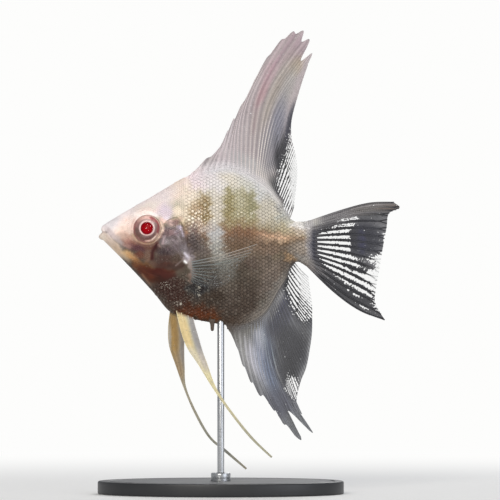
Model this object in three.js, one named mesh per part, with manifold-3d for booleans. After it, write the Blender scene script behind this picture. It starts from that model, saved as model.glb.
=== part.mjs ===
// Freshwater angelfish: a still, life-size model held on a plain display stand.
// Millimetres, +Z up. The fish faces -X, so its left side faces -Y. The origin is the centre of
// the underside of the stand's base.
//
// The fish is drawn in its own frame: a station s behind the tip of the snout, a level h above it,
// and y across the body. The group "fish" carries that frame to its place above the base.

import * as THREE from "three";
import { mergeVertices } from "three/addons/utils/BufferGeometryUtils.js";
import Module from "manifold-3d";

const wasm = await Module();
wasm.setup();

// ---- Driving dimensions -------------------------------------------------------------------

const SNOUT_HEIGHT = 67.6; // the snout above the floor
const ROD_STATION = 31.8; // the rod's axis, behind the snout
const GAP = 0.3; // clearance between neighbouring pieces
const FAR = 60; // half the reach of a cutting prism, past the whole body

// The trunk: outlines and thickness along the body, each as [station, value] knots.
const BACK = curve([
  [0.7, 1.9], [1.2, 2.4], [2, 2.9], [8.2, 6.6], [14.5, 10.2], [20.7, 13.9], [24, 15.4],
  [28.8, 16.9], [33.7, 17.3], [37.9, 15.9], [41, 14], [44.4, 11.4], [47, 8.1], [49.3, 4.6],
  [51, 3.5], [53, 3.3], [56.4, 3.8],
]);
const BELLY = curve([
  [0.7, -1], [1.2, -1.7], [2, -2.5], [6.1, -6.6], [10.3, -11], [14.5, -15.6], [18.4, -20.2],
  [22.7, -21.8], [28.3, -23], [33.2, -23.8], [36.8, -23.8], [40.2, -22.6], [43.3, -20.2],
  [46.3, -15.2], [48.5, -11.6], [50.3, -8.2], [52, -7.4], [54.4, -8.8], [56.4, -9.9],
]);
const HALF_WIDTH = curve([
  [0.7, 0.9], [1.5, 1.5], [3, 2.1], [6, 2.9], [10, 3.8], [14, 4.5], [19, 5.1], [24, 5.3],
  [30, 5.1], [36, 4.4], [42, 3.4], [47, 2.5], [52, 1.8], [56.4, 0.7],
]);
const WIDEST_LEVEL = curve([
  [0.7, 0.3], [6, -0.5], [14, -1.5], [24, -2.6], [34, -3], [44, -2.5], [52, -1.9], [56.4, -2.9],
]);
// How sharp the section's upper and lower edges are: 0.5 is an ellipse, 1 a keel.
const BACK_KEEL = curve([[0.7, 0.5], [8, 0.58], [18, 0.72], [32, 0.85], [48, 0.75], [56.4, 0.5]]);
const BELLY_KEEL = curve([[0.7, 0.5], [8, 0.55], [20, 0.66], [34, 0.8], [48, 0.75], [56.4, 0.5]]);
const BODY_START = 0.7;
const BODY_END = 56.4;
const BODY_RINGS = 33;
const SIDE_POINTS = 11; // from the belly's edge to the back's edge, on one side

// The chin's lobe stands in front of the upper lip.
const CHIN = { at: [1.35, 0, -0.65], radii: [1.35, 1.15, 0.95] };
// A swimming bend: the tail swings this far to the fish's right per square millimetre of station.
const SWING_FROM = 40;
const SWING = 0.0026;

// Where the body is parted, each as [station, level] points from the back to the belly.
const NECK_CUT = [[22.8, 24], [22.6, 12], [21.5, 4.6], [22.9, 0.8], [23.6, -3.1], [24, -7.3],
  [22.3, -8.9], [18.1, -10.8], [13.4, -10.5], [8.4, -9.8], [4, -12]];
const STALK_CUT = [[50, 20], [50, -20]];
const JAW_CUT = [[-3, 0.9], [0.8, 0.5], [2.1, 0.25], [6.6, -3.2], [5.6, -7], [4.6, -10]];

// The gill cover's outline on the cheek, and its thickness.
const GILL_OUTLINE = [[16.8, 2.6], [19.1, 4.2], [21, 4], [22.4, 0.8], [23.1, -3.1], [23.4, -6.5],
  [22.2, -8.3], [18.6, -10], [15.2, -9.2], [14.2, -6.2], [15, -2.6]];
const GILL_THICKNESS = 0.8;

const EYE = { at: [12.75, 2.35, 1.25], radii: [3.75, 2.1, 3.75] };
const PAPILLA = { station: 29.6, top: -22.2, bottom: -25.3, radius: 0.42 };

// Fins. Each key ray is a list of [station, level] points from the root to the tip, and the fin is
// swept across its key rays. "frays" says how deep the margin is notched between each two of them,
// as a share of the ray's length.
const FIN_THICKNESS = 0.6;
const DORSAL_FIN = {
  rays: [
    [[23.2, 13.6], [23.6, 14.6], [24.2, 15.8]],
    [[25.2, 14.4], [26.6, 17], [27.8, 19.4]],
    [[27.2, 15], [29.4, 18.8], [31.4, 22.4]],
    [[29.4, 15.6], [31.3, 20.9], [33.4, 26.5]],
    [[31.6, 16], [33.1, 22.6], [35, 29.8]],
    [[33.6, 16], [34.6, 24.4], [37, 33.3]],
    [[35.2, 15.8], [36, 28.5], [41, 40.8]],
    [[36.4, 15.2], [37.3, 31], [43.6, 45.6]],
    [[37.6, 14.8], [38.8, 33.5], [47.4, 50.4]],
    [[38.8, 14.2], [40.7, 35], [50.6, 52.7]],
    [[39.8, 13.6], [42.3, 35.2], [53.3, 52.9]],
    [[40.8, 12.8], [44, 34], [54.9, 50.6]],
    [[41.8, 12], [45.6, 31.5], [55.6, 46.9]],
    [[42.8, 11.4], [46.5, 28.2], [54.2, 43.2]],
    [[43.6, 10.8], [46.8, 24.2], [52.3, 37.4]],
    [[44.4, 10], [46.9, 20], [50.3, 30]],
    [[45.2, 9], [47.6, 17.2], [50.2, 25]],
    [[46.2, 7.6], [48.7, 14], [51.3, 20.4]],
    [[47.2, 6.2], [49.3, 11.4], [51.7, 16.4]],
    [[48.2, 4.6], [49.8, 8.4], [51.4, 12.2]],
    [[49.4, 3.2], [50.1, 5], [50.8, 7]],
  ],
  frays: [0.1, 0.08, 0.08, 0.08, 0.07, 0.05, 0, 0, 0.05, 0.05, 0.09, 0.16, 0.05],
  sway: 1.2,
};
const ANAL_FIN = {
  rays: [
    [[32.6, -21.6], [33, -23], [33.6, -24.6]],
    [[34, -22.2], [34.8, -25.6], [35.9, -29.3]],
    [[35.6, -22.4], [36.3, -28.1], [37.4, -33.9]],
    [[37.2, -22.4], [37.8, -30.5], [39.5, -38.4]],
    [[38.6, -22], [39.2, -32], [41.8, -41.9]],
    [[40, -21.6], [40.8, -34], [45.5, -45.8]],
    [[41, -21], [42.3, -35.6], [48, -49.3]],
    [[41.8, -20.4], [43.9, -37.8], [51.4, -52.8]],
    [[42.4, -19.9], [44.8, -37.8], [52.7, -53]],
    [[42.8, -19.5], [44.8, -33.4], [49.3, -46]],
    [[43.2, -19.1], [46.1, -36.8], [54.9, -51.2]],
    [[43.5, -18.8], [46.4, -36.4], [55.3, -50.9]],
    [[43.8, -18.4], [46.3, -32.8], [50.8, -45]],
    [[44, -18.2], [46.8, -33.6], [52.9, -46.9]],
    [[44.4, -17.6], [47.3, -31], [51.5, -43.6]],
    [[45, -16.6], [48.5, -28.6], [52.5, -38.7]],
    [[45.6, -15.4], [49.7, -26], [54, -34.8]],
    [[46.4, -14], [50.6, -22.9], [54.9, -30.4]],
    [[47.2, -12.6], [51.2, -20], [55.5, -26]],
    [[48, -11.2], [51.6, -17], [55.6, -21.8]],
    [[48.8, -9.8], [52, -14.4], [55.5, -17.8]],
    [[49.6, -8], [52.3, -11.6], [55, -14.4]],
    [[50.4, -6.8], [52.4, -9.2], [54.6, -11.2]],
  ],
  frays: [0.1, 0.08, 0.06, 0.06, 0.05, 0.05, 0.04],
  sway: -1,
};
const TAIL_FIN = {
  rays: [
    [[54.6, 3.4], [62.5, 5.7], [70.5, 7.8], [78.3, 7.7]],
    [[54.6, 2], [66, 4.9], [76, 5.4]],
    [[54.6, 0.4], [65.5, 2], [75, 1.7]],
    [[54.6, -1.2], [65, -1.1], [74.3, -2]],
    [[54.6, -2.9], [65, -4.1], [73.6, -6]],
    [[54.6, -4.5], [65, -7.4], [72.9, -10.3]],
    [[54.6, -6], [64.6, -10.3], [72.2, -14.2]],
    [[54.6, -7.7], [64, -13.8], [72, -18]],
    [[54.6, -9.3], [61.2, -14.9], [67.8, -19.7], [74.5, -22.4]],
  ],
  frays: [],
  sway: 0.8,
};
// Paired fins, as the left one: they stand out from the side by the "spread" angle.
const PECTORAL_FIN = {
  rays: [
    [[24, -7.4], [32.6, -5.4], [41.2, -2.7]],
    [[24.1, -8.1], [31.8, -6.9], [39.6, -4.9]],
    [[24.2, -8.8], [30.8, -8.4], [37.7, -7]],
    [[24.3, -9.5], [30.2, -9.8], [36.2, -9.1]],
    [[24.3, -10.2], [29.7, -11.2], [35, -11.3]],
    [[24.3, -10.9], [28.8, -12.3], [33.5, -12.9]],
    [[24.2, -11.6], [27.8, -13.1], [31.4, -13.9]],
    [[24.1, -12.2], [26.4, -13.4], [28.8, -14.2]],
  ],
  frays: [0.02, 0.02, 0.02, 0.02, 0.02, 0.02, 0.02],
  root: 5,
  spread: 17,
};
// The leading and trailing edges of the pelvic fins, each with its long trailing filament.
const PELVIC_FIN_LEFT = {
  rays: [
    [[20.2, -19.6], [21.6, -26.3], [23.8, -31.4], [27.9, -37.5], [32.3, -43.8], [37.5, -51.1], [44.8, -58.1]],
    [[24.8, -21.2], [25.9, -26.6], [27.6, -32], [30.3, -38.2], [34.3, -44.4], [38.8, -50.8], [45.4, -57.6]],
  ],
  frays: [],
};
const PELVIC_FIN_RIGHT = {
  rays: [
    [[18.7, -19.8], [18.2, -27.2], [20, -34], [22.3, -42.3], [26.4, -50.8], [31.1, -56.1], [38.2, -61.6]],
    [[22.2, -20.8], [22.4, -27.4], [22.5, -34], [23.5, -42.2], [27.3, -50.4], [32, -55.6], [38.7, -61.1]],
  ],
  frays: [],
};
const PELVIC_ROOT = 1.3; // from the midline
const PELVIC_SPLAY = 0.07; // outward, per millimetre down
const FILAMENT_THICKNESS = 0.8;

// The stand: an oval steel plate, a rod up to the belly and a collar where the rod meets the plate.
const BASE = { halfLength: 32, halfWidth: 22, thickness: 3.4, chamfer: 0.5 };
const ROD_RADIUS = 0.9;
const COLLAR = { radius: 2.6, height: 1.8 };

// ---- Materials ----------------------------------------------------------------------------

const finish = (color, roughness, metalness = 0) =>
  new THREE.MeshStandardMaterial({ color, roughness, metalness });
const SKIN = finish("#b9a793", 0.4);
const CHEEK = finish("#8f8077", 0.4);
const FIN = finish("#9a959e", 0.45);
const FILAMENT = finish("#dcc17a", 0.45);
const IRIS = finish("#b3202a", 0.15);
const BLACKENED_STEEL = finish("#26272a", 0.45, 0.2);
const BRUSHED_STEEL = finish("#b8babd", 0.3, 0.9);

// ---- Curves and solids --------------------------------------------------------------------

// A smooth function through [x, value] knots: cubic pieces whose slopes come from the neighbours.
function curve(knots) {
  const slope = (i) => {
    const a = knots[Math.max(i - 1, 0)];
    const b = knots[Math.min(i + 1, knots.length - 1)];
    return (b[1] - a[1]) / (b[0] - a[0]);
  };
  return (x) => {
    let i = knots.findIndex((k) => k[0] > x) - 1;
    if (i === -2) i = knots.length - 2; // past the last knot
    i = Math.max(i, 0);
    const [x0, v0] = knots[i];
    const [x1, v1] = knots[i + 1];
    const run = x1 - x0;
    const t = THREE.MathUtils.clamp((x - x0) / run, 0, 1);
    const rise = t * t * (3 - 2 * t);
    return v0 + (v1 - v0) * rise + run * t * (1 - t) * (slope(i) * (1 - t) - slope(i + 1) * t);
  };
}

// A point at t (0 to 1) on the smooth line through a list of points.
function along(points, t) {
  const last = points.length - 1;
  const place = THREE.MathUtils.clamp(t, 0, 1) * last;
  const i = Math.min(Math.floor(place), last - 1);
  const f = place - i;
  const p = [i - 1, i, i + 1, i + 2].map((k) => points[THREE.MathUtils.clamp(k, 0, last)]);
  return p[0].map((_, axis) => {
    const [a, b, c, d] = p.map((q) => q[axis]);
    return b + 0.5 * f * (c - a + f * (2 * a - 5 * b + 4 * c - d + f * (3 * (b - c) + d - a)));
  });
}

// A manifold-3d solid from points and triangles, turned to face outwards.
function solid(points, triangles) {
  const make = (faces) =>
    new wasm.Manifold(
      new wasm.Mesh({
        numProp: 3,
        vertProperties: new Float32Array(points.flat()),
        triVerts: new Uint32Array(faces.flat()),
      }),
    );
  const made = make(triangles);
  return made.volume() >= 0 ? made : make(triangles.map(([a, b, c]) => [a, c, b]));
}

// The same from a three.js geometry.
function solidOf(geometry) {
  geometry.deleteAttribute("normal");
  geometry.deleteAttribute("uv");
  const merged = mergeVertices(geometry, 1e-4);
  const at = merged.attributes.position;
  const points = Array.from({ length: at.count }, (_, i) => [at.getX(i), at.getY(i), at.getZ(i)]);
  const faces = [];
  for (let i = 0; i < merged.index.count; i += 3) faces.push([0, 1, 2].map((k) => merged.index.getX(i + k)));
  return solid(points, faces);
}

// A three.js mesh from a manifold-3d solid.
function meshOf(name, shape, material) {
  const { vertProperties, triVerts, numProp } = shape.getMesh();
  const points = new Float32Array((vertProperties.length / numProp) * 3);
  for (let i = 0; i * 3 < points.length; i++)
    points.set(vertProperties.subarray(i * numProp, i * numProp + 3), i * 3);
  const geometry = new THREE.BufferGeometry();
  geometry.setAttribute("position", new THREE.BufferAttribute(points, 3));
  geometry.setIndex(new THREE.BufferAttribute(triVerts, 1));
  const mesh = new THREE.Mesh(geometry, material);
  mesh.name = name;
  return mesh;
}

// Two triangles for each cell of a grid of "columns" points a row.
function gridFaces(rows, columns, index, closed = false) {
  const faces = [];
  for (let i = 0; i + 1 < rows; i++)
    for (let j = 0; j + (closed ? 0 : 1) < columns; j++) {
      const k = (j + 1) % columns;
      const [a, b, c, d] = [index(i, j), index(i + 1, j), index(i + 1, k), index(i, k)];
      faces.push([a, b, c], [a, c, d]);
    }
  return faces;
}

// A prism across the whole body, from an outline of [station, level] points.
function prism(outline, yLow = -FAR, yHigh = FAR) {
  const shape = new THREE.Shape(outline.map(([s, h]) => new THREE.Vector2(s, h)));
  const geometry = new THREE.ExtrudeGeometry(shape, { depth: yHigh - yLow, bevelEnabled: false });
  geometry.rotateX(Math.PI / 2);
  geometry.translate(0, yHigh, 0);
  return solidOf(geometry);
}

// A thin wall that follows a line of [station, level] points and parts what it crosses.
function knife(line) {
  const half = GAP / 2;
  const side = (sign) =>
    line.map(([s, h], i) => {
      const [s0, h0] = line[Math.max(i - 1, 0)];
      const [s1, h1] = line[Math.min(i + 1, line.length - 1)];
      const length = Math.hypot(s1 - s0, h1 - h0);
      return [s + (sign * half * (h0 - h1)) / length, h + (sign * half * (s1 - s0)) / length];
    });
  return prism([...side(1), ...side(-1).reverse()]);
}

function ellipsoid({ at, radii }, grow = 0, mirror = 1) {
  const geometry = new THREE.SphereGeometry(1, 18, 11);
  geometry.scale(radii[0] + grow, radii[1] + grow, radii[2] + grow);
  geometry.translate(at[0], at[1] * mirror, at[2]);
  return solidOf(geometry);
}

// ---- The body -----------------------------------------------------------------------------

const swing = (s) => SWING * Math.max(0, s - SWING_FROM) ** 2;

// Half the body's thickness at a station and level; "grow" swells it all round.
function flank(s, h, grow = 0) {
  const middle = WIDEST_LEVEL(s);
  const up = h > middle;
  const reach = up ? BACK(s) + grow - middle : middle - BELLY(s) + grow;
  const rise = THREE.MathUtils.clamp(Math.abs(h - middle) / reach, 0, 1);
  const keel = up ? BACK_KEEL(s) : BELLY_KEEL(s);
  return Math.max(HALF_WIDTH(s) + grow, 0.05) * (1 - rise * rise) ** keel;
}

// The closed loft of the trunk and head, swollen or shrunk by "grow".
function bodyLoft(grow = 0) {
  const points = [];
  const perRing = 2 * SIDE_POINTS - 2;
  for (let i = 0; i < BODY_RINGS; i++) {
    const share = (i / (BODY_RINGS - 1)) ** 1.2; // rings lie closer towards the snout
    const s = BODY_START + (BODY_END - BODY_START) * share;
    const out = i === 0 ? -grow : i === BODY_RINGS - 1 ? grow : 0;
    const [low, middle, high] = [BELLY(s) - grow, WIDEST_LEVEL(s), BACK(s) + grow];
    for (let j = 0; j < perRing; j++) {
      const turn = (j < SIDE_POINTS ? j : perRing - j) / (SIDE_POINTS - 1);
      const lift = Math.sin((turn - 0.5) * Math.PI);
      const h = middle + lift * (lift > 0 ? high - middle : middle - low);
      const side = j === 0 || j === SIDE_POINTS - 1 ? 0 : j < SIDE_POINTS ? -1 : 1;
      points.push([s + out, side * flank(s, h, grow) + swing(s), h]);
    }
  }
  const faces = gridFaces(BODY_RINGS, perRing, (i, j) => i * perRing + j, true);
  const lastRing = (BODY_RINGS - 1) * perRing;
  for (let j = 1; j + 1 < perRing; j++) {
    faces.push([0, j, j + 1]);
    faces.push([lastRing, lastRing + j + 1, lastRing + j]);
  }
  return solid(points, faces);
}

// The gill cover's outline as a smooth closed line, "grow" outside the real one.
function gillOutline(grow = 0) {
  const ring = new THREE.CatmullRomCurve3(
    GILL_OUTLINE.map(([s, h]) => new THREE.Vector3(s, h, 0)), true, "centripetal");
  const centre = new THREE.Vector3();
  GILL_OUTLINE.forEach(([s, h]) => centre.add(new THREE.Vector3(s, h, 0)));
  centre.divideScalar(GILL_OUTLINE.length);
  return ring.getPoints(26).slice(0, -1).map((p) => {
    const out = p.clone().sub(centre);
    p.add(out.setLength(grow));
    return [p.x, p.y];
  });
}

function gillCover(whole, mirror, grow = 0) {
  const inner = bodyLoft(-GILL_THICKNESS - grow);
  const [low, high] = mirror < 0 ? [-FAR, 0] : [0, FAR];
  return whole.subtract(inner).intersect(prism(gillOutline(grow), low, high));
}

function buildBody(fish) {
  const loft = bodyLoft();
  const whole = loft.add(ellipsoid(CHIN));
  let rest = whole;
  for (const [name, mirror] of [["gill_cover_left", -1], ["gill_cover_right", 1]]) {
    fish.add(meshOf(name, gillCover(loft, mirror), CHEEK));
    rest = rest.subtract(gillCover(bodyLoft(GAP), mirror, GAP));
  }
  for (const mirror of [-1, 1]) rest = rest.subtract(ellipsoid(EYE, GAP, mirror));
  for (const cut of [NECK_CUT, STALK_CUT, JAW_CUT]) rest = rest.subtract(knife(cut));

  // The cuts leave four pieces, which follow one another from the chin to the tail.
  const pieces = rest.decompose().filter((p) => p.volume() > 0.5);
  const centre = ({ min, max }) => (min[0] + max[0]) / 2;
  pieces.sort((a, b) => centre(a.boundingBox()) - centre(b.boundingBox()));
  ["lower_jaw", "head", "trunk", "tail_stalk"].forEach((name, i) => {
    fish.add(meshOf(name, pieces[i], SKIN));
  });
}

// ---- Fins ---------------------------------------------------------------------------------

// The middle sheet of a fin: across its key rays by u and along each ray by v, both 0 to 1.
function finPoint({ rays, frays }, u, v) {
  const place = u * (rays.length - 1);
  const i = Math.min(Math.floor(place), rays.length - 2);
  const notch = (frays[i] ?? 0) * Math.sin((place - i) * Math.PI) ** 2;
  const reach = v * (1 - notch);
  return along(rays.map((ray) => along(ray, reach)), u);
}

// A closed sheet of even thickness on a fin's middle sheet. "side" gives y at a point of it.
function finSolid(fin, steps, thickness, side) {
  const [across, down] = steps;
  const points = [];
  for (const face of [-0.5, 0.5])
    for (let i = 0; i <= across; i++)
      for (let j = 0; j <= down; j++) {
        const [s, h] = finPoint(fin, i / across, j / down);
        points.push([s, side(s, h, i / across, j / down) + face * thickness, h]);
      }
  const rows = across + 1;
  const columns = down + 1;
  const sheet = rows * columns;
  const front = gridFaces(rows, columns, (i, j) => i * columns + j);
  const back = front.map(([a, b, c]) => [a + sheet, c + sheet, b + sheet]);
  const border = [];
  for (let i = 0; i < across; i++) border.push([i * columns, (i + 1) * columns]);
  for (let j = 0; j < down; j++) border.push([across * columns + j, across * columns + j + 1]);
  for (let i = across; i > 0; i--) border.push([i * columns + down, (i - 1) * columns + down]);
  for (let j = down; j > 0; j--) border.push([j, j - 1]);
  const rim = border.flatMap(([a, b]) => [[a, a + sheet, b + sheet], [a, b + sheet, b]]);
  return solid(points, [...front, ...back, ...rim]);
}

// A fin on the midline, with a gentle wave towards its margin.
function medianFin(name, fin, steps) {
  const wave = (s, h, u, v) => swing(s) + fin.sway * v * v * Math.sin(u * Math.PI * 1.5);
  return [name, finSolid(fin, steps, FIN_THICKNESS, wave), FIN];
}

function pectoralFin(name, mirror) {
  const fin = PECTORAL_FIN;
  const slant = Math.tan(THREE.MathUtils.degToRad(fin.spread));
  const start = fin.rays[0][0][0];
  const outward = (s, h, u, v) => {
    const cup = 0.9 * v * (1 - v) * 2; // the blade bows outwards
    return mirror * (fin.root + slant * (s - start) + cup);
  };
  return [name, finSolid(fin, [14, 3], FIN_THICKNESS, outward), FIN];
}

function pelvicFin(name, fin, mirror) {
  const top = fin.rays[0][0][1];
  const outward = (s, h) => mirror * (PELVIC_ROOT + PELVIC_SPLAY * (top - h));
  return [name, finSolid(fin, [1, 26], FILAMENT_THICKNESS, outward), FILAMENT];
}

function buildFins(fish) {
  const clear = bodyLoft(GAP);
  const made = [
    medianFin("dorsal_fin", DORSAL_FIN, [40, 4]),
    medianFin("anal_fin", ANAL_FIN, [44, 4]),
    medianFin("tail_fin", TAIL_FIN, [16, 5]),
    pectoralFin("pectoral_fin_left", -1),
    pectoralFin("pectoral_fin_right", 1),
    pelvicFin("pelvic_fin_left", PELVIC_FIN_LEFT, -1),
    pelvicFin("pelvic_fin_right", PELVIC_FIN_RIGHT, 1),
  ];
  for (const [name, shape, material] of made) {
    const [largest] = shape.subtract(clear).decompose().sort((a, b) => b.volume() - a.volume());
    fish.add(meshOf(name, largest, material));
  }
}

function buildSmallParts(fish) {
  for (const [name, mirror] of [["eye_left", -1], ["eye_right", 1]])
    fish.add(meshOf(name, ellipsoid(EYE, 0, mirror), IRIS));

  const { station, top, bottom, radius } = PAPILLA;
  const tube = new THREE.CylinderGeometry(radius * 1.15, radius * 0.8, top - bottom, 14);
  tube.rotateX(Math.PI / 2);
  tube.translate(station, 0, (top + bottom) / 2);
  const papilla = solidOf(tube).subtract(bodyLoft(GAP));
  fish.add(meshOf("vent_papilla", papilla, SKIN));
}

// ---- The stand ----------------------------------------------------------------------------

function buildStand(stand) {
  const { halfLength, halfWidth, thickness, chamfer } = BASE;
  const oval = new THREE.Shape();
  oval.absellipse(0, 0, halfLength - chamfer, halfWidth - chamfer, 0, 2 * Math.PI);
  const plate = new THREE.ExtrudeGeometry(oval, {
    depth: thickness - 2 * chamfer,
    bevelSize: chamfer,
    bevelThickness: chamfer,
    bevelSegments: 1,
    curveSegments: 22,
  });
  plate.translate(0, 0, chamfer);
  stand.add(meshOf("stand_base", solidOf(plate), BLACKENED_STEEL));

  const collar = new THREE.LatheGeometry(
    [[ROD_RADIUS + GAP, 0], [COLLAR.radius, 0], [COLLAR.radius, COLLAR.height * 0.6],
      [COLLAR.radius * 0.7, COLLAR.height], [ROD_RADIUS + GAP, COLLAR.height],
      [ROD_RADIUS + GAP, 0]].map(([r, z]) => new THREE.Vector2(r, z)), 18);
  collar.rotateX(Math.PI / 2);
  collar.translate(0, 0, thickness + GAP);
  stand.add(meshOf("stand_collar", solidOf(collar), BRUSHED_STEEL));

  const rodBottom = thickness + GAP;
  const rodTop = SNOUT_HEIGHT + BELLY(ROD_STATION - ROD_RADIUS) + 1.2;
  const rod = new THREE.CylinderGeometry(ROD_RADIUS, ROD_RADIUS, rodTop - rodBottom, 16);
  rod.rotateX(Math.PI / 2);
  rod.translate(0, 0, (rodTop + rodBottom) / 2);
  const belly = bodyLoft(GAP).translate([-ROD_STATION, 0, SNOUT_HEIGHT]);
  stand.add(meshOf("stand_rod", solidOf(rod).subtract(belly), BRUSHED_STEEL));
}

// ---- The model ----------------------------------------------------------------------------

const model = new THREE.Group();
const fish = new THREE.Group();
const stand = new THREE.Group();
fish.position.set(-ROD_STATION, 0, SNOUT_HEIGHT);
model.add(fish, stand);

buildBody(fish);
buildFins(fish);
buildSmallParts(fish);
buildStand(stand);

export default model;
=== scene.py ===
"""A freshwater angelfish as a still, life-size display model: its looks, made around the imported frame.

Landmarks are in millimetres in the fish's own frame: a station s behind the tip of the snout, a
level h above it, and y across, with the fish's left side at -y. place() turns them to metres.
"""

import math

import bmesh
import bpy
import numpy as np
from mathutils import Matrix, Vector


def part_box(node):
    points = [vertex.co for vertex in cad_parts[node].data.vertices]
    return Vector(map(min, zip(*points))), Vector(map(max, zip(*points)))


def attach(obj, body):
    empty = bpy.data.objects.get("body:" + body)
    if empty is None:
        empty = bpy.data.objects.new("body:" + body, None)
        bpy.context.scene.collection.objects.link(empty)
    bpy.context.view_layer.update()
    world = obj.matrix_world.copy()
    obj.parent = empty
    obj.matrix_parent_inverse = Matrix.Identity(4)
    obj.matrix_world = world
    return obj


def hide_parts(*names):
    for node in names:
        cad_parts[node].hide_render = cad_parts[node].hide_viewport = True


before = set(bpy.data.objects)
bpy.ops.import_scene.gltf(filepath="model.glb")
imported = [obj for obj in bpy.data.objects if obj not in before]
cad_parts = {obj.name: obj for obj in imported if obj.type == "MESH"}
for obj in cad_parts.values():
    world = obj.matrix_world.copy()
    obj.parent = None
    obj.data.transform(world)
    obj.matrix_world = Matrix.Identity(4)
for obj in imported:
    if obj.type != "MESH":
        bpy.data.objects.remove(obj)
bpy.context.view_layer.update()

MM = 0.001
ROD_STATION = 31.8  # the rod's axis, behind the snout
PAPILLA_LOW = -25.3  # the lower end of the vent's papilla, below the snout

rod_low, rod_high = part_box("stand_rod")
SNOUT_X = (rod_low.x + rod_high.x) / 2 - ROD_STATION * MM
SNOUT_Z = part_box("vent_papilla")[0].z - PAPILLA_LOW * MM
MIDLINE_Y = (rod_low.y + rod_high.y) / 2


def place(points):
    """Points of the fish's own frame, [station, y, level] in millimetres, in the frame's metres."""
    return np.asarray(points, float) * MM + (SNOUT_X, MIDLINE_Y, SNOUT_Z)


def places_of(piece):
    """The stations and levels of a finished piece's points."""
    points = np.empty(3 * len(piece.data.vertices))
    piece.data.vertices.foreach_get("co", points)
    s, _, h = (points.reshape(-1, 3) - (SNOUT_X, MIDLINE_Y, SNOUT_Z)).T / MM
    return s, h


# ---- Curves ----


def smooth(x, low, high):
    """0 below low, 1 above high, and an even S between them."""
    t = np.clip((np.asarray(x, float) - low) / (high - low), 0, 1)
    return t * t * (3 - 2 * t)


def bell(x, width):
    """1 at 0, and fading to nothing over a few widths on both sides."""
    return np.exp(-((x / width) ** 2))


def curve(knots):
    """A smooth function through [x, value] knots: cubic pieces whose slopes come from the neighbours."""
    xs, values = np.array(knots, float).T
    order = np.arange(len(xs))
    before = np.maximum(order - 1, 0)
    after = np.minimum(order + 1, len(xs) - 1)
    slopes = (values[after] - values[before]) / (xs[after] - xs[before])

    def at(x):
        i = np.clip(np.searchsorted(xs, x, side="right") - 1, 0, len(xs) - 2)
        run = xs[i + 1] - xs[i]
        t = np.clip((x - xs[i]) / run, 0, 1)
        rise = t * t * (3 - 2 * t)
        lean = slopes[i] * (1 - t) - slopes[i + 1] * t
        return values[i] + (values[i + 1] - values[i]) * rise + run * t * (1 - t) * lean

    return at


def along(points, t):
    """Points at shares t (0 to 1) of the smooth line through a list of points.

    "points" is [point, axis], or [point, sample, axis] where each sample has a line of its own.
    """
    points = np.asarray(points, float)
    t = np.asarray(t, float)
    last = len(points) - 1
    place_on = np.clip(t, 0, 1) * last
    i = np.minimum(place_on.astype(int), last - 1)
    f = (place_on - i)[..., None]
    sample = (np.arange(points.shape[1]),) if points.ndim == 3 else ()
    a, b, c, d = (points[(np.clip(i + k, 0, last), *sample)] for k in (-1, 0, 1, 2))
    return b + 0.5 * f * (c - a + f * (2 * a - 5 * b + 4 * c - d + f * (3 * (b - c) + d - a)))


def running(steps):
    """The distance covered at each point of a line, from the lengths of its steps."""
    return np.concatenate([[0], np.cumsum(steps)])


def line_distance(line, s, h):
    """How far each (s, h) lies from a line of points, and at which share of the line's run."""
    line = np.asarray(line, float)
    runs = np.hypot(*np.diff(line, axis=0).T)
    starts = running(runs)
    nearest = np.full(np.shape(s), 1e9)
    share = np.zeros(np.shape(s))
    for (s0, h0), (s1, h1), run, start in zip(line[:-1], line[1:], runs, starts):
        t = np.clip(((s - s0) * (s1 - s0) + (h - h0) * (h1 - h0)) / run**2, 0, 1)
        distance = np.hypot(s - s0 - t * (s1 - s0), h - h0 - t * (h1 - h0))
        closer = distance < nearest
        nearest = np.where(closer, distance, nearest)
        share = np.where(closer, (start + t * run) / starts[-1], share)
    return nearest, share


def away_from(line, s, h):
    """The distance from each (s, h) to a line of points."""
    return line_distance(line, s, h)[0]


def inside(line, s, h):
    """Whether each (s, h) lies in the closed outline."""
    within = np.zeros(np.shape(s), bool)
    for (s0, h0), (s1, h1) in zip(line, np.roll(line, -1, axis=0)):
        crosses = (h0 > h) != (h1 > h)
        rise = h1 - h0 if h1 != h0 else 1e-9
        within ^= crosses & (s < (s1 - s0) * (h - h0) / rise + s0)
    return within


# ---- The body's landmarks ----

BACK = curve([
    [0.7, 1.9], [1.2, 2.4], [2, 2.9], [8.2, 6.6], [14.5, 10.2], [20.7, 13.9], [24, 15.4],
    [28.8, 16.9], [33.7, 17.3], [37.9, 15.9], [41, 14], [44.4, 11.4], [47, 8.1], [49.3, 4.6],
    [51, 3.5], [53, 3.3], [56.4, 3.8]])
BELLY = curve([
    [0.7, -1], [1.2, -1.7], [2, -2.5], [6.1, -6.6], [10.3, -11], [14.5, -15.6], [18.4, -20.2],
    [22.7, -21.8], [28.3, -23], [33.2, -23.8], [36.8, -23.8], [40.2, -22.6], [43.3, -20.2],
    [46.3, -15.2], [48.5, -11.6], [50.3, -8.2], [52, -7.4], [54.4, -8.8], [56.4, -9.9]])
HALF_WIDTH = curve([
    [0.7, 0.9], [1.5, 1.5], [3, 2.1], [6, 2.9], [10, 3.8], [14, 4.5], [19, 5.1], [24, 5.3],
    [30, 5.1], [36, 4.4], [42, 3.4], [47, 2.5], [52, 1.8], [56.4, 0.7]])
WIDEST_LEVEL = curve([
    [0.7, 0.3], [6, -0.5], [14, -1.5], [24, -2.6], [34, -3], [44, -2.5], [52, -1.9], [56.4, -2.9]])
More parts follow.
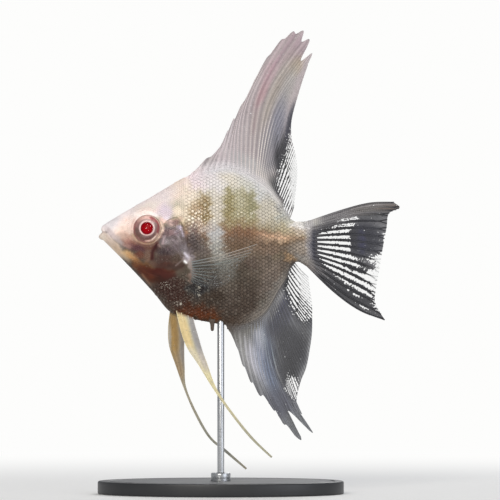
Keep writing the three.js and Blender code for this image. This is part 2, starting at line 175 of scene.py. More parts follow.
# How sharp the section's upper and lower edges are: 0.5 is an ellipse, and 1 a sharper keel.
BACK_KEEL = curve([[0.7, 0.5], [8, 0.58], [18, 0.72], [32, 0.85], [48, 0.75], [56.4, 0.5]])
BELLY_KEEL = curve([[0.7, 0.5], [8, 0.55], [20, 0.66], [34, 0.8], [48, 0.75], [56.4, 0.5]])
BODY_END = 56.4  # where the stalk's outline ends
COAT_DEPTH = 0.12  # the scales' depth over the skin
# A swimming bend: behind a station the tail swings to the fish's right, by the square of the way.
SWING_FROM = 40
SWING = 0.0026

EYE_AT = (12.75, 1.25)  # station and level of the eye's centre
EYE_RADIUS = 3.62
LID_AT = (-0.05, 0.06)  # the middle of the opening in the eye's lid, from the eye's centre
GILL_KNOTS = [[16.8, 2.6], [19.1, 4.2], [21, 4], [22.4, 0.8], [23.1, -3.1], [23.4, -6.5],
    [22.2, -8.3], [18.6, -10], [15.2, -9.2], [14.2, -6.2], [15, -2.6]]
GILL_LINE = along(GILL_KNOTS + GILL_KNOTS[:1], np.linspace(0, 1, 67))  # closed
PREOPERCLE = [[16.9, 2.0], [15.9, 0], [15.1, -2.2], [14.5, -4.6], [13.7, -6.8], [12, -8.1], [9.8, -8.3]]
LATERAL_LINE = [[38.5, 1.1], [42, 0], [46, -0.9], [50, -1.3], [54, -1.4]]


def swing(s):
    """How far the bend carries each station to the fish's right."""
    return SWING * np.maximum(0, s - SWING_FROM) ** 2

# ---- Markings ----
# Skin and scales take their colours from the same marks. A blot is [station, level],
# [half length, half height], colour, strength, and its tilt in degrees and softness where these
# aren't 0 and 0.6.


def srgb(code):
    """The three sRGB values, 0 to 1, of a hex colour."""
    return np.array([int(code[k:k + 2], 16) for k in (1, 3, 5)]) / 255


def linear(colour):
    """sRGB values as the linear ones that shading works in."""
    colour = np.asarray(colour, float)
    return np.where(colour <= 0.04045, colour / 12.92, ((colour + 0.055) / 1.055) ** 2.4)


def blot(s, h, at, radii, tilt=0, softness=0.6):
    """How far a soft oval blot covers each point, 0 to 1."""
    turn = math.radians(tilt)
    x = (s - at[0]) * math.cos(turn) + (h - at[1]) * math.sin(turn)
    z = (h - at[1]) * math.cos(turn) - (s - at[0]) * math.sin(turn)
    return 1 - smooth(np.hypot(x / radii[0], z / radii[1]), 1 - softness, 1 + softness)


def blend(first, second, share):
    """One colour turned into another by a share, 0 to 1, at each place."""
    return first + (second - first) * share[..., None]


def wash(colour, cover, code):
    """Lays a colour over others, as thickly as "cover" says."""
    return blend(colour, srgb(code), np.clip(cover, 0, 1))


def spread(colour, s, h, marks):
    """Lays a list of blots over a colour, in order."""
    for at, radii, code, strength, *lie in marks:
        colour = wash(colour, strength * blot(s, h, at, radii, *lie), code)
    return colour


def draw(colour, s, h, streaks):
    """Lays a list of streaks over a colour: each a line, its half-width, colour and strength."""
    for line, width, code, strength in streaks:
        colour = wash(colour, strength * bell(away_from(line, s, h), width), code)
    return colour


def stray(s, h, reach):
    """Shifts places in smooth waves, up to about "reach", so that marks have natural, uneven edges."""
    shift_s = np.sin(1.9 * h + 0.7 * s) + 0.7 * np.sin(3.7 * h - 1.3 * s + 2)
    shift_s = shift_s + 0.5 * np.sin(6.9 * h + 3.1 * s)
    shift_h = np.sin(1.7 * s - 0.8 * h + 1) + 0.7 * np.sin(3.3 * s + 1.6 * h)
    shift_h = shift_h + 0.5 * np.sin(7.3 * s - 2.9 * h)
    return s + 0.5 * reach * shift_s, h + 0.5 * reach * shift_h


def patch(outline, s, h, softness):
    """How far a patch with a soft edge covers each point, 0 to 1; the outline is a list of points."""
    away = away_from(outline + outline[:1], s, h)
    return smooth(np.where(inside(outline, s, h), away, -away), -softness, softness)


# Bands from the belly's edge (0) to the back's (1), each with its colour on the flank.
FLANK_BANDS = [(0, "#4c423b"), (0.2, "#4f463f"), (0.36, "#585047"), (0.46, "#74685c"),
    (0.53, "#70604f"), (0.6, "#856d57"), (0.68, "#9a8d72"), (0.8, "#b4ad95"), (0.9, "#cdc9b8"),
    (1, "#dad6d0")]
# Patches with an outline of their own: the pale gap, and the two bars on either side of it.
FLANK_PATCHES = [
    [[(28.9, 12.6), (32.2, 13), (32.8, 8), (32.4, 3.6), (31, 1.4), (29.2, 2)], 1.2, "#cbc4b4", 0.85],
    [[(23.2, 7.6), (25.2, 8.8), (27.4, 10.6), (28.6, 9.6), (28.9, 4), (28.4, 2.2), (26.4, 3.2),
        (24.2, 4.2), (22.9, 5.8)], 1.2, "#9c8863", 0.92],
    [[(32.9, 11.4), (34.6, 12), (36, 10.6), (37.4, 11.4), (40.3, 10.8), (41.2, 8.6), (41, 3.2),
        (40.6, 0.8), (33.2, 0.8), (32.9, 4)], 1.3, "#a29b7b", 0.92],
]
FLANK_MARKS = [
    # the back, from the nape to the tail
    [(22, 13), (6, 4), "#f5e3d1", 0.95, 33, 0.5], [(27, 14.6), (4.5, 3), "#e9ddda", 0.95, 20, 0.5],
    [(31, 13.8), (3.5, 3), "#dfdad3", 0.9], [(35, 14.6), (3.5, 2), "#dcd5c3", 0.85, -5],
    [(39.5, 12.8), (3.4, 1.8), "#d0cec0", 0.8, -30], [(43, 10.2), (2.8, 2.4), "#cac9c3", 0.9, -45],
    [(44, 5.8), (2.6, 4), "#c2bcae", 0.85, -20], [(46.4, 6.4), (1.3, 1.8), "#d6d0c4", 0.6, -50],
    [(48, 4.4), (1.6, 3), "#b9bab6", 0.8, -50], [(47.6, 7.2), (0.8, 1.6), "#8b8a87", 0.8, -50],
    [(46.6, 2.2), (2.2, 1.8), "#ada592", 0.7, -10, 0.7],
    # between the head and the first bar
    [(23.6, 9.7), (2, 3.2), "#e6dac6", 0.85, 15], [(22.4, 5.2), (1.4, 2.2), "#ddcfb8", 0.8],
    # cores of the two bars
    [(27.9, 5.6), (1, 3.2), "#86744c", 0.85, -5], [(25.7, 6.2), (1.7, 1.5), "#a68d6c", 0.6, 10],
    [(26, 2.6), (2.4, 1.5), "#b5a28e", 0.7, -15], [(34.1, 7.2), (1, 4.4), "#948a60", 0.75, 2],
    [(39.8, 7.4), (1.1, 3.4), "#8d8969", 0.7, 2], [(36.9, 9.4), (1, 2.4), "#b5b197", 0.6, 0, 0.7],
    [(33.8, 5), (1.1, 4), "#8c7f5a", 0.5], [(37, 2.4), (4, 1.6), "#91805e", 0.8, -2],
    [(37.4, 0.3), (4.6, 1.5), "#7f6248", 0.9, -3],
    # the silvery gap under them
    [(30.5, -0.5), (2.1, 3), "#b6b5b0", 0.95, 8, 0.5], [(31, -4.6), (2, 2.6), "#a09f99", 0.9, 0, 0.5],
    [(32.6, -7.4), (2.6, 1.8), "#8c8b85", 0.75, 10], [(33.6, -10.6), (2.2, 2.2), "#72706a", 0.7, 30],
    [(28.2, 1.4), (1.6, 1.2), "#b2a89c", 0.7],
    # behind the gill cover
    [(24.6, 0.4), (1.6, 1.8), "#79695f", 0.85], [(25, -2.8), (1.9, 2.6), "#544b47", 0.95, 4, 0.5],
    [(27.1, -5), (1.6, 2.6), "#665e59", 0.8], [(27.4, -9.4), (2.4, 2.8), "#5b5751", 0.85, 10],
    [(24, -6), (1.1, 2), "#8f888c", 0.85, 10],
    # the middle of the flank, brown and warm
    [(36.6, -2.6), (3.8, 2.2), "#72604e", 0.85], [(40, -7.8), (2.4, 1.4), "#5f524c", 0.6],
    [(44, -1), (3.2, 1.3), "#a08b76", 0.75, -4], [(47.6, -1.1), (3, 1.2), "#c6af98", 0.85, -4],
    [(44.4, -4), (3.4, 1.7), "#7f6e60", 0.7, -6], [(49.6, -6.1), (1.9, 1), "#b29472", 0.75, -30],
    [(46.6, -6.4), (1.1, 1.5), "#625a45", 0.6, 0, 0.7],
    # the lower rear, towards the anal fin
    [(44.6, -12.4), (2.2, 4.8), "#756c65", 0.85, -28], [(46.6, -14), (1.4, 5), "#7c7873", 0.85, -33],
    [(43.4, -19), (2, 3), "#716d66", 0.8, -30], [(40.8, -22), (3, 1.2), "#655f58", 0.7, 20],
    [(33.6, -13.2), (1.8, 3), "#655d55", 0.8, 10], [(33.4, -17.5), (1.8, 3.4), "#574e48", 0.6, 0, 0.7],
    [(28.6, -12.8), (3, 2), "#46403d", 0.8], [(29.4, -16.4), (3, 2.2), "#423830", 0.85],
    # the breast and the belly
    [(19, -14), (6.4, 3), "#3c2822", 0.95, -45, 0.5], [(25.6, -13.6), (2.4, 1.8), "#3f3b3c", 0.85, -10],
    [(24.6, -16), (2.2, 1.7), "#48423d", 0.8], [(21.6, -17.8), (3.2, 1.8), "#43312a", 0.8, -30],
    [(26.4, -20.3), (4.8, 1.7), "#523220", 0.9, -9, 0.7],
    [(26, -20.8), (4.6, 0.8), "#6b3a1d", 0.7, -9, 0.7],
    [(29.6, -21.4), (1.8, 1), "#663d22", 0.75, -9, 0.7],
    [(34, -22.2), (3.4, 1.1), "#4b3f37", 0.7, -4, 0.7],
    # the root of the breast fin
    [(24.1, -8.6), (0.8, 2.4), "#928985", 0.85, 10, 0.5], [(24.4, -11), (0.8, 1), "#83726a", 0.7],
    [(23.6, -12.1), (0.36, 0.3), "#d2b8aa", 0.8, 20],
    # the tail's stalk
    [(52.4, 0.9), (3.2, 1.7), "#c6b9ac", 0.85, -4, 0.7], [(52.9, 2.3), (3, 1), "#f6f3f0", 0.9, -3],
    [(45, -8.6), (4.2, 2.8), "#7c7168", 0.7, 22, 0.7], [(26, -14), (3, 1.8), "#3b3c3d", 0.8, -5, 0.5],
    [(52.6, -3.8), (2.8, 2.1), "#a2988e", 0.9, 0, 0.7], [(54.4, 2.8), (1.6, 1.6), "#c4c2bf", 0.85],
    [(55.2, -2.4), (1.3, 7), "#bab7b8", 0.75, 4], [(53.8, -6.9), (2.6, 1.3), "#95918e", 0.8, -15],
    [(57.9, -3), (3.1, 6.2), "#65646a", 0.95, 0, 0.35], [(56.4, -3.5), (0.8, 4), "#3f3f48", 0.9, 4],
    [(53.6, -6.6), (3, 0.9), "#8f8b86", 0.6, -20], [(26.2, -13.4), (2.2, 1.3), "#241e1d", 0.7],
]
HEAD_MARKS = [
    # forehead, snout and brow
    [(9, 5.6), (12, 4.6), "#f1e6df", 1, 32, 0.25], [(3.4, 2.4), (4.2, 1.8), "#e6ddd6", 0.9, 25, 0.5],
    [(7.4, 2.6), (3, 1.6), "#f4ddcd", 0.8, 25], [(12.6, 6.4), (3.6, 1.6), "#fbe8d9", 0.8, 25],
    [(17.6, 5.7), (2.2, 1.9), "#e3d5d9", 0.85, 10], [(20.6, 5.8), (1.3, 1.2), "#f4e6cf", 0.8, 30],
    [(21.4, 4), (0.9, 0.8), "#c3ae98", 0.7], [(6.6, 0.6), (3, 1.2), "#e2ccba", 0.85, 15],
    [(7.4, -0.9), (2, 1.1), "#cfac98", 0.85, -25], [(2.1, 0.35), (0.5, 0.42), "#a19b95", 0.8],
    [(16.6, 3.3), (0.9, 0.9), "#e8c5ba", 0.7],
    # jaws
    [(3.4, -2.8), (5, 1.5), "#c6b7a8", 0.95, -45, 0.4], [(6, -5), (3, 0.8), "#b5a28e", 0.8, -45, 0.5],
    [(4.6, -1), (3.6, 0.7), "#bdb0ab", 0.8, -43], [(1, -0.8), (1.1, 0.7), "#d6ccbd", 0.8, -40],
    # cheek
    [(8.2, -2.4), (1.8, 0.9), "#ab8477", 0.85, -25], [(11, -2.6), (2.6, 0.7), "#8d6a58", 0.8, -5, 0.5],
    [(10.8, -3.7), (2.7, 0.95), "#583a3d", 0.95, -8, 0.7],
    [(13.2, -3.5), (1.8, 0.6), "#644639", 0.85, -5], [(15.4, -3.7), (0.6, 1.1), "#3f2925", 0.8],
    [(7.5, -3.2), (1.2, 0.6), "#a3857b", 0.8, -25], [(7.9, -5.3), (1.5, 0.8), "#dcba8d", 0.9, -25, 0.7],
    [(9.1, -6.2), (1.9, 0.8), "#c4986a", 0.9, -38, 0.7],
    [(10.8, -5.5), (1.2, 0.9), "#71473a", 0.8, -20], [(10.4, -7.6), (1.7, 0.7), "#90643f", 0.85, -38],
    [(9.6, -8.5), (1.2, 0.6), "#7a4f33", 0.8, -45], [(13, -5.7), (1.1, 1.9), "#776053", 0.9, -5, 0.5],
    [(12.6, -8.2), (2, 0.8), "#6b513c", 0.85, -20], [(14.8, -7.8), (1.4, 0.6), "#655046", 0.8, -5],
    # throat
    [(12.6, -10.2), (3, 1.4), "#4f2817", 0.9, -40, 0.5],
    [(16, -9.8), (2.6, 0.9), "#43180f", 0.95, -5, 0.5], [(18.4, -9.8), (1.8, 0.8), "#513226", 0.85],
    [(14.6, -11.2), (1.6, 0.6), "#593320", 0.8, -30], [(18.6, -12), (4, 1.4), "#3d2720", 0.9, -25, 0.5],
    # gill cover
    [(18.9, -1.4), (3.7, 3.6), "#736a68", 0.95, -8, 0.35], [(20, -1), (0.7, 0.6), "#615651", 0.7],
    [(17.6, -3.3), (1, 0.7), "#5a4f4b", 0.8, -10], [(18.4, 0.4), (1.7, 0.9), "#725f5a", 0.85, 10],
    [(17.9, -2), (1, 0.7), "#9a9391", 0.7, -30], [(21, -1.2), (0.5, 1), "#948b88", 0.8, 10],
    [(20.6, 0.2), (0.7, 0.9), "#968b8c", 0.7], [(21, 1.7), (0.8, 0.6), "#a79ba4", 0.8, -20],
    [(18.8, 2.8), (1.3, 0.8), "#b09990", 0.8, -10], [(20.4, 3.1), (0.8, 0.65), "#6d5449", 0.85, 0, 0.5],
    # The first mark on the next line, near white at the gill cover's top, is a painted glint.
    [(18, 4.1), (1, 0.5), "#f1e6ea", 0.7], [(17.6, -4.8), (2.2, 1.2), "#473c3d", 0.9, 0, 0.5],
    [(19.2, -5), (0.8, 0.6), "#544b48", 0.7], [(20.6, -3.8), (1.6, 1.4), "#655b5a", 0.7],
    [(17.4, -6.8), (3, 1.3), "#503e39", 0.95, -5, 0.5], [(20.4, -6.4), (1.8, 1), "#51453e", 0.8, 15],
    [(17.4, -8.2), (2.2, 0.8), "#452e28", 0.85], [(20.6, -8.3), (2.2, 1), "#453530", 0.85, 10],
    [(17, -10.6), (3.2, 1), "#47231b", 0.8, -8], [(22.3, -3.6), (1, 2), "#7f797b", 0.8, -5],
    [(22.1, -1.2), (0.6, 1.8), "#655b57", 0.8], [(20.2, -7), (0.9, 0.7), "#5a4c44", 0.7, 20],
    [(22.9, -6.4), (0.9, 0.9), "#a79ea2", 0.85, -30], [(22.4, -9.6), (1, 0.9), "#4d3f38", 0.7],
    [(3.6, 3), (2, 1.4), "#d2cfcd", 0.45, 20], [(6.1, -0.6), (1.5, 1), "#b09f91", 0.5],
    [(19.9, 3), (1.2, 0.8), "#7c6962", 0.5], [(16, -12), (1.6, 1), "#2d160c", 0.5],
    # The last mark is a painted shade over the brow above the eye, which tones down the highlight that
    # falls there.
    [(12.8, 5.9), (2.6, 0.9), "#efdacd", 0.5],
]
HEAD_STREAKS = [
    [[(15.2, -2.4), (14.7, -3.6), (14.1, -4.8), (14, -6.4)], 0.45, "#3b1b19", 0.95],
    [[(17.3, -0.7), (16.9, -1.8), (16.7, -2.6)], 0.3, "#bba7a6", 0.85],
    [[(15.6, -2.8), (16.2, -3.4)], 0.25, "#a58c84", 0.6],
    # The next streak, along the gill cover's silvery hind edge, is partly that edge's own pale tint and
    # partly a painted glint.
    [[(21.3, 1.7), (21.8, 0.6), (22.1, -0.6)], 0.3, "#b3abb2", 0.8],
    [[(19.2, -1.4), (20, -1.9), (20.6, -2.6)], 0.3, "#988d8e", 0.6],
    [[(18.2, 0.2), (19.6, -0.2), (20.8, 0.2)], 0.25, "#6c5957", 0.6],
    [[(17, -3.2), (18.2, -4.2), (19.4, -5.6)], 0.25, "#8b7f83", 0.25],
    [[(19.6, -3), (21, -4.8), (21.6, -6)], 0.22, "#877c80", 0.5],
    [[(20.2, -8.2), (21.4, -7.2), (22.3, -6.5)], 0.22, "#857a78", 0.7],
    # The next two streaks, near white at the gill flap's lower hind corner, are painted glints.
    [[(22.5, -5), (23.1, -5.8), (23.7, -6.3)], 0.36, "#dcd7e0", 0.9],
    [[(22.5, -7.1), (22.9, -7.5)], 0.32, "#ffffff", 1],
    # The next streak is painted shade in the crease behind the gill flap's hind edge.
    [[(23.4, -0.6), (23.8, -2.8), (24, -4.4)], 0.45, "#4f4547", 0.8],
    [[(11.4, -10.6), (13.2, -12.9), (15.2, -15.3)], 0.32, "#88705f", 0.6],
]
NECK = [[22.8, 24], [22.6, 12], [22, 5.4], [22.5, 0.8], [23.4, -3.1], [23.9, -7.3],
    [22.3, -9.2], [18.1, -12], [13.4, -13.5], [8.4, -13], [0, -12], [-9, 0], [-5, 24]]


def body_marking(s, h):
    """The sRGB colour of the skin and scales at each station and level."""
    rise = (h - BELLY(s)) / (BACK(s) - BELLY(s))
    levels = [level for level, _ in FLANK_BANDS]
    shades = np.array([srgb(code) for _, code in FLANK_BANDS])
    colour = np.stack([np.interp(rise, levels, shades[:, k]) for k in range(3)], -1)
    strayed = stray(s, h, 0.2 + 0.55 * smooth(s, 54, 50))
    for outline, softness, code, strength in FLANK_PATCHES:
        colour = wash(colour, strength * patch(outline, *strayed, softness), code)
    colour = spread(colour, *strayed, FLANK_MARKS)
    # Near the anal fin's root and along the dorsal fin's root the body is painted paler: painted light that
    # offsets the shade where its rounded edge turns away from the lights. Right at the anal fin's root it
    # turns grey.
    rise_out = clear_of_body(s, h)
    below = smooth(s, 33, 42) * smooth(s, 51, 48) * (h < 0)
    colour = wash(colour, 0.75 * bell(rise_out + 1.2, 1.6) * below, "#87817b")
    colour = wash(colour, 0.8 * smooth(rise_out, -0.6, 0.5) * smooth(s, 33, 38) * (h < 0), "#656466")
    # The pale band along the dorsal fin's root is painted light as well.
    root = smooth(rise_out, -2.6, -0.3) * smooth(s, 24, 30) * smooth(s, 50, 46) * (h > 0)
    colour = wash(colour, 0.8 * root, "#d9d7d3")
    on_line = bell(away_from(LATERAL_LINE, s, h), 0.45) * smooth(s, 39, 43) * smooth(s, 52, 47)
    colour = wash(colour, 0.5 * on_line, "#cfa98c")
    head = spread(colour, *stray(s, h, 0.22), HEAD_MARKS)
    colour = blend(colour, draw(head, s, h, HEAD_STREAKS), patch(NECK, s, h, 0.8))
    # The wet gloss over the skin greys its colours a little, so they are laid on a little richer.
    colour = 1.1 * colour - 0.05
    grey = colour.mean(-1, keepdims=True)
    richness = np.ptp(colour, axis=-1)[..., None]
    colour = grey + (colour - grey) * (1.2 - 0.2 * smooth(richness, 0.16, 0.34))
    # The back is a shade cooler than the belly.
    cool = smooth(h, -8, 3) * smooth(s, 50, 38)
    return np.clip(colour + np.array([0, 0.003, 0.036]) * cool[..., None], 0, 1)

# ---- Fins: their landmarks ----
# Each key ray is a list of [station, level] points from the root to the tip, and the fin is swept
# across its key rays. "frays" says how deep the margin is notched between each two of them.

DORSAL_FIN = {
    "keys": [
        [[23.2, 13.6], [23.6, 14.6], [24.2, 15.8]], [[25.2, 14.4], [26.6, 17], [27.8, 19.4]],
        [[27.2, 15], [29.4, 18.8], [31.4, 22.4]], [[29.4, 15.6], [31.3, 20.9], [33.4, 26.5]],
        [[31.6, 16], [33.1, 22.6], [35, 29.8]], [[33.6, 16], [34.6, 24.4], [37, 33.3]],
        [[35.2, 15.8], [36, 28.5], [41, 40.8]], [[36.4, 15.2], [37.3, 31], [43.6, 45.6]],
        [[37.6, 14.8], [38.8, 33.5], [47.4, 50.4]], [[38.8, 14.2], [40.7, 35], [50.6, 52.7]],
        [[39.8, 13.6], [42.3, 35.2], [53.3, 52.9]], [[40.8, 12.8], [44, 34], [54.9, 50.6]],
        [[41.8, 12], [45.6, 31.5], [55.6, 46.9]], [[42.8, 11.4], [46.5, 28.2], [54.2, 43.2]],
        [[43.6, 10.8], [46.8, 24.2], [52.3, 37.4]], [[44.4, 10], [46.9, 20], [50.3, 30]],
        [[45.2, 9], [47.6, 17.2], [50.2, 25]], [[46.2, 7.6], [48.7, 14], [51.3, 20.4]],
        [[47.2, 6.2], [49.3, 11.4], [51.7, 16.4]], [[48.2, 4.6], [49.8, 8.4], [51.4, 12.2]],
        [[49.4, 3.2], [50.1, 5], [50.8, 7]],
    ],
    "frays": [0.2, 0.16, 0.14, 0.13, 0.12, 0.11, 0.08, 0.06, 0.05, 0.05, 0.09, 0.16, 0.05],
    "sway": 1.2,
    "rays": [[0, 0], [11, 13], [14, 20], [20, 35]],  # [key ray, count of rays up to it]
    "spines": 12,
    "fork": 0.5,
}
ANAL_FIN = {
    "keys": [
        [[32.6, -21.6], [33, -23], [33.6, -24.6]], [[34, -22.2], [34.8, -25.6], [35.9, -29.3]],
        [[35.6, -22.4], [36.3, -28.1], [37.4, -33.9]], [[37.2, -22.4], [37.8, -30.5], [39.5, -38.4]],
        [[38.6, -22], [39.2, -32], [41.8, -41.9]], [[40, -21.6], [40.8, -34], [45.5, -45.8]],
        [[41, -21], [42.3, -35.6], [48, -49.3]], [[41.8, -20.4], [43.9, -37.8], [51.4, -52.8]],
        [[42.4, -19.9], [44.8, -37.8], [52.7, -53]], [[42.8, -19.5], [44.8, -33.4], [49.3, -46]],
        [[43.2, -19.1], [46.1, -36.8], [54.9, -51.2]], [[43.5, -18.8], [46.4, -36.4], [55.3, -50.9]],
        [[43.8, -18.4], [46.3, -32.8], [50.8, -45]], [[44, -18.2], [46.8, -33.6], [52.9, -46.9]],
        [[44.4, -17.6], [47.3, -31], [51.5, -43.6]], [[45, -16.6], [48.5, -28.6], [52.5, -38.7]],
        [[45.6, -15.4], [49.7, -26], [54, -34.8]], [[46.4, -14], [50.6, -22.9], [54.9, -30.4]],
        [[47.2, -12.6], [51.2, -20], [55.5, -26]], [[48, -11.2], [51.6, -17], [55.6, -21.8]],
        [[48.8, -9.8], [52, -14.4], [55.5, -17.8]], [[49.6, -8], [52.3, -11.6], [55, -14.4]],
        [[50.4, -6.8], [52.4, -9.2], [54.6, -11.2]],
    ],
    "frays": [0.2, 0.16, 0.14, 0.12, 0.12, 0.1, 0.08],
    "sway": -1,
    "rays": [[0, 0], [4, 4], [14, 17], [22, 34]],
    "spines": 6,
    "fork": 0.45,
}
TAIL_FIN = {
    "keys": [
        [[54.6, 2.9], [62.5, 5.8], [70.3, 7.9], [76.9, 8.2]],
        [[54.6, 2.5], [64, 5.6], [72.4, 7], [78.4, 6.8]], [[54.6, 2], [66, 4.9], [75.6, 5.3]],
        [[54.6, 0.4], [65.5, 2], [75, 1.7]], [[54.6, -1.2], [65, -1.1], [74.3, -2]],
        [[54.6, -2.9], [65, -4.1], [73.6, -6]], [[54.6, -4.5], [65, -7.4], [72.9, -10.3]],
        [[54.6, -6], [64.6, -10.3], [72.2, -14.2]], [[54.6, -7.2], [64, -13.8], [72, -18]],
        [[54.6, -8.3], [61.2, -14.9], [67.8, -19.7], [74.5, -22.4]],
    ],
    "sway": 0.8,
    "rays": [[0, 0], [1, 1], [9, 16]],
    "spines": 1,
    "fork": 0.8,
}
PECTORAL_FIN = {
    "keys": [
        [[24, -7.4], [32.6, -5.4], [41.2, -2.7]], [[24.1, -8.1], [31.8, -6.9], [39.6, -4.9]],
        [[24.2, -8.8], [30.8, -8.4], [37.7, -7]], [[24.3, -9.5], [30.2, -9.8], [36.2, -9.1]],
        [[24.3, -10.2], [29.7, -11.2], [35, -11.3]], [[24.3, -10.9], [28.8, -12.3], [33.5, -12.9]],
        [[24.2, -11.6], [27.8, -13.1], [31.4, -13.9]], [[24.1, -12.2], [26.4, -13.4], [28.8, -14.2]],
    ],
    "frays": [0.02] * 7,
    "root": 5,
    "spread": 17,
    "rays": [[0, 0], [7, 9]],
    "spines": 1,
    "fork": 0.4,
}
PELVIC_FIN_LEFT = {
    "keys": [
        [[20.3, -20], [21.1, -23.7], [22.1, -27.2], [23.6, -30.4], [25.8, -33.6], [29.7, -39.9],
            [34.2, -46.4], [39.4, -52.9], [44.9, -58.1]],
        [[24.5, -21.6], [25.2, -24.4], [26.1, -27.3], [27, -30.4], [28.2, -33.6], [30.6, -40],
            [34.9, -46.4], [40.1, -52.8], [45.2, -57.8]],
    ],
    "rays": [[0, 0], [1, 3]],
    "spines": 1,
}
PELVIC_FIN_RIGHT = {
    "keys": [
        [[18.7, -19.9], [18.2, -24.4], [18.4, -29], [20, -33.9], [22.1, -39.9], [24.8, -46.4],
            [28.5, -52.9], [32.7, -56.7], [38.3, -61.4]],
        [[22.2, -20.6], [22.3, -25], [22.2, -29.6], [22.3, -34.4], [22.7, -39.9], [25.4, -46.4],
            [29.1, -52.8], [33.2, -56.3], [38.6, -61.1]],
    ],
    "rays": [[0, 0], [1, 3]],
    "spines": 1,
}
FILM_HALF = 0.07  # half the thickness of a fin's film
ROOT_DEPTH = 0.4  # how deep inside the body's outline a median fin's root lies
PELVIC_ROOT = 1.3  # from the midline
PELVIC_SPLAY = 0.07  # outward, per millimetre down


def fin_point(fin, u, v):
    """Stations and levels of a fin's middle sheet: across its key rays by u, along them by v."""
    keys = fin["keys"]
    spans = len(keys) - 1
    across, out = np.ravel(u), np.ravel(v)
    key = np.clip(across, 0, 1) * spans
    i = np.minimum(key.astype(int), spans - 1)
    frays = np.zeros(spans)
    notches = fin.get("frays", [])
    frays[:len(notches)] = notches
    reach = out * (1 - frays[i] * np.sin((key - i) * np.pi) ** 2)
    at = along(np.stack([along(ray, reach) for ray in keys]), across)
    return at[:, 0].reshape(np.shape(u)), at[:, 1].reshape(np.shape(u))


def fin_side(fin, s, h, u, v):
    """How far across the body a point of a fin stands."""
    if "sway" in fin:
        return swing(s) + fin["sway"] * v * v * np.sin(u * np.pi * 1.5)
    if "spread" in fin:
        slant = math.tan(math.radians(fin["spread"]))
        return -(fin["root"] + slant * (s - fin["keys"][0][0][0]) + 1.8 * v * (1 - v))
    return -(PELVIC_ROOT + PELVIC_SPLAY * (fin["keys"][0][0][1] - h))


def clear_of_body(s, h):
    """How far outside the body's outline each point lies, in millimetres; inside it is negative."""
    return np.maximum(np.maximum(h - BACK(s), BELLY(s) - h), s - BODY_END)


def stalk_thins(s):
    """The stalk thins into the root of the tail: its share of the body's half-width."""
    return smooth(s, 58.4, 52)


def fin_half(fin, s, h):
    """Half the thickness of a fin's film: a median fin thickens where it grows out of the body."""
    if "sway" not in fin:
        return FILM_HALF + 0 * s
    middle = WIDEST_LEVEL(s)
    reach = np.where(h > middle, BACK(s) - middle, middle - BELLY(s))
    keel = np.where(h > middle, BACK_KEEL(s), BELLY_KEEL(s))
    # The body's own half-width at this depth inside its outline, which the film starts from.
    edge = HALF_WIDTH(s) * stalk_thins(s) * (1 - (1 - ROOT_DEPTH / reach) ** 2) ** keel
    clear = np.maximum(clear_of_body(s, h), -ROOT_DEPTH) + ROOT_DEPTH
    return FILM_HALF + (edge - FILM_HALF) * np.exp(-clear / 0.8)


def ray_count(fin, u):
    """The running count of rays at u: whole numbers lie on a ray, halves between two rays."""
    keys, counts = np.array(fin["rays"], float).T
    return np.interp(u * (len(fin["keys"]) - 1), keys, counts)


def ray_place(fin, count):
    """The u where the count of rays is this."""
    keys, counts = np.array(fin["rays"], float).T
    return np.interp(count, counts, keys) / (len(fin["keys"]) - 1)

# ---- Meshes and nodes ----


def grid_faces(rows, columns, closed=False, start=0):
    """The four-sided faces of a grid of points, row by row; "closed" joins each row's ends."""
    i, j = np.meshgrid(np.arange(rows - 1), np.arange(columns - (0 if closed else 1)), indexing="ij")
    k = (j + 1) % columns
    quads = np.stack([i * columns + j, (i + 1) * columns + j, (i + 1) * columns + k, i * columns + k], -1)
    return (quads.reshape(-1, 4) + start).tolist()


def tube_faces(rows, around):
    """The faces of a tube of rows of points, and of fans to the two points that close its ends."""
    faces = grid_faces(rows, around, closed=True)
    count = rows * around
    last = count - around
    for j in range(around):
        k = (j + 1) % around
        faces += [[count, j, k], [count + 1, last + k, last + j]]
    return faces


def mesh_piece(name, points, faces, edges=()):
    """A new smooth object at the origin from points in metres; its faces are turned outwards."""
    mesh = bpy.data.meshes.new(name)
    mesh.from_pydata(np.asarray(points).tolist(), edges, faces)
    piece = bpy.data.objects.new(name, mesh)
    bpy.context.scene.collection.objects.link(piece)
    if len(faces):
        work = bmesh.new()
        work.from_mesh(mesh)
        bmesh.ops.recalc_face_normals(work, faces=work.faces)
        work.to_mesh(mesh)
        work.free()
        mesh.shade_smooth()
    return piece


def give(piece, name, values, kind=None):
    """Stores a value, a vector or a colour for each point of a piece."""
    values = np.asarray(values, np.float32)
    kind = kind or ("FLOAT_VECTOR" if values.ndim == 2 else "FLOAT")
    layer = piece.data.attributes.new(name, kind, "POINT")
    field = {"FLOAT": "value", "FLOAT_VECTOR": "vector", "FLOAT_COLOR": "color"}[kind]
    layer.data.foreach_set(field, values.ravel())


def give_colours(piece, colours):
    """Stores a linear colour for each point."""
    give(piece, "marking", np.column_stack([colours, np.ones(len(colours))]), "FLOAT_COLOR")


def give_map(piece, spots):
    """Stores the unwrap "OFBake" from one spot for each point."""
    corners = np.empty(len(piece.data.loops), int)
    piece.data.loops.foreach_get("vertex_index", corners)
    layer = piece.data.uv_layers.new(name="OFBake")
    layer.uv.foreach_set("vector", np.asarray(spots, np.float32)[corners].ravel())


def put(tree, kind, inputs=None, **settings):
    """Adds one node with its settings, and the value or the link of each input it is given."""
    node = tree.nodes.new(kind)
    for name, value in settings.items():
        setattr(node, name, value)
    for socket, source in (inputs or {}).items():
        if isinstance(source, bpy.types.NodeSocket):
            tree.links.new(source, node.inputs[socket])
        else:
            node.inputs[socket].default_value = source
    return node


def colour(code):
    """A hex colour as the four linear values a socket takes."""
    return (*linear(srgb(code)), 1)


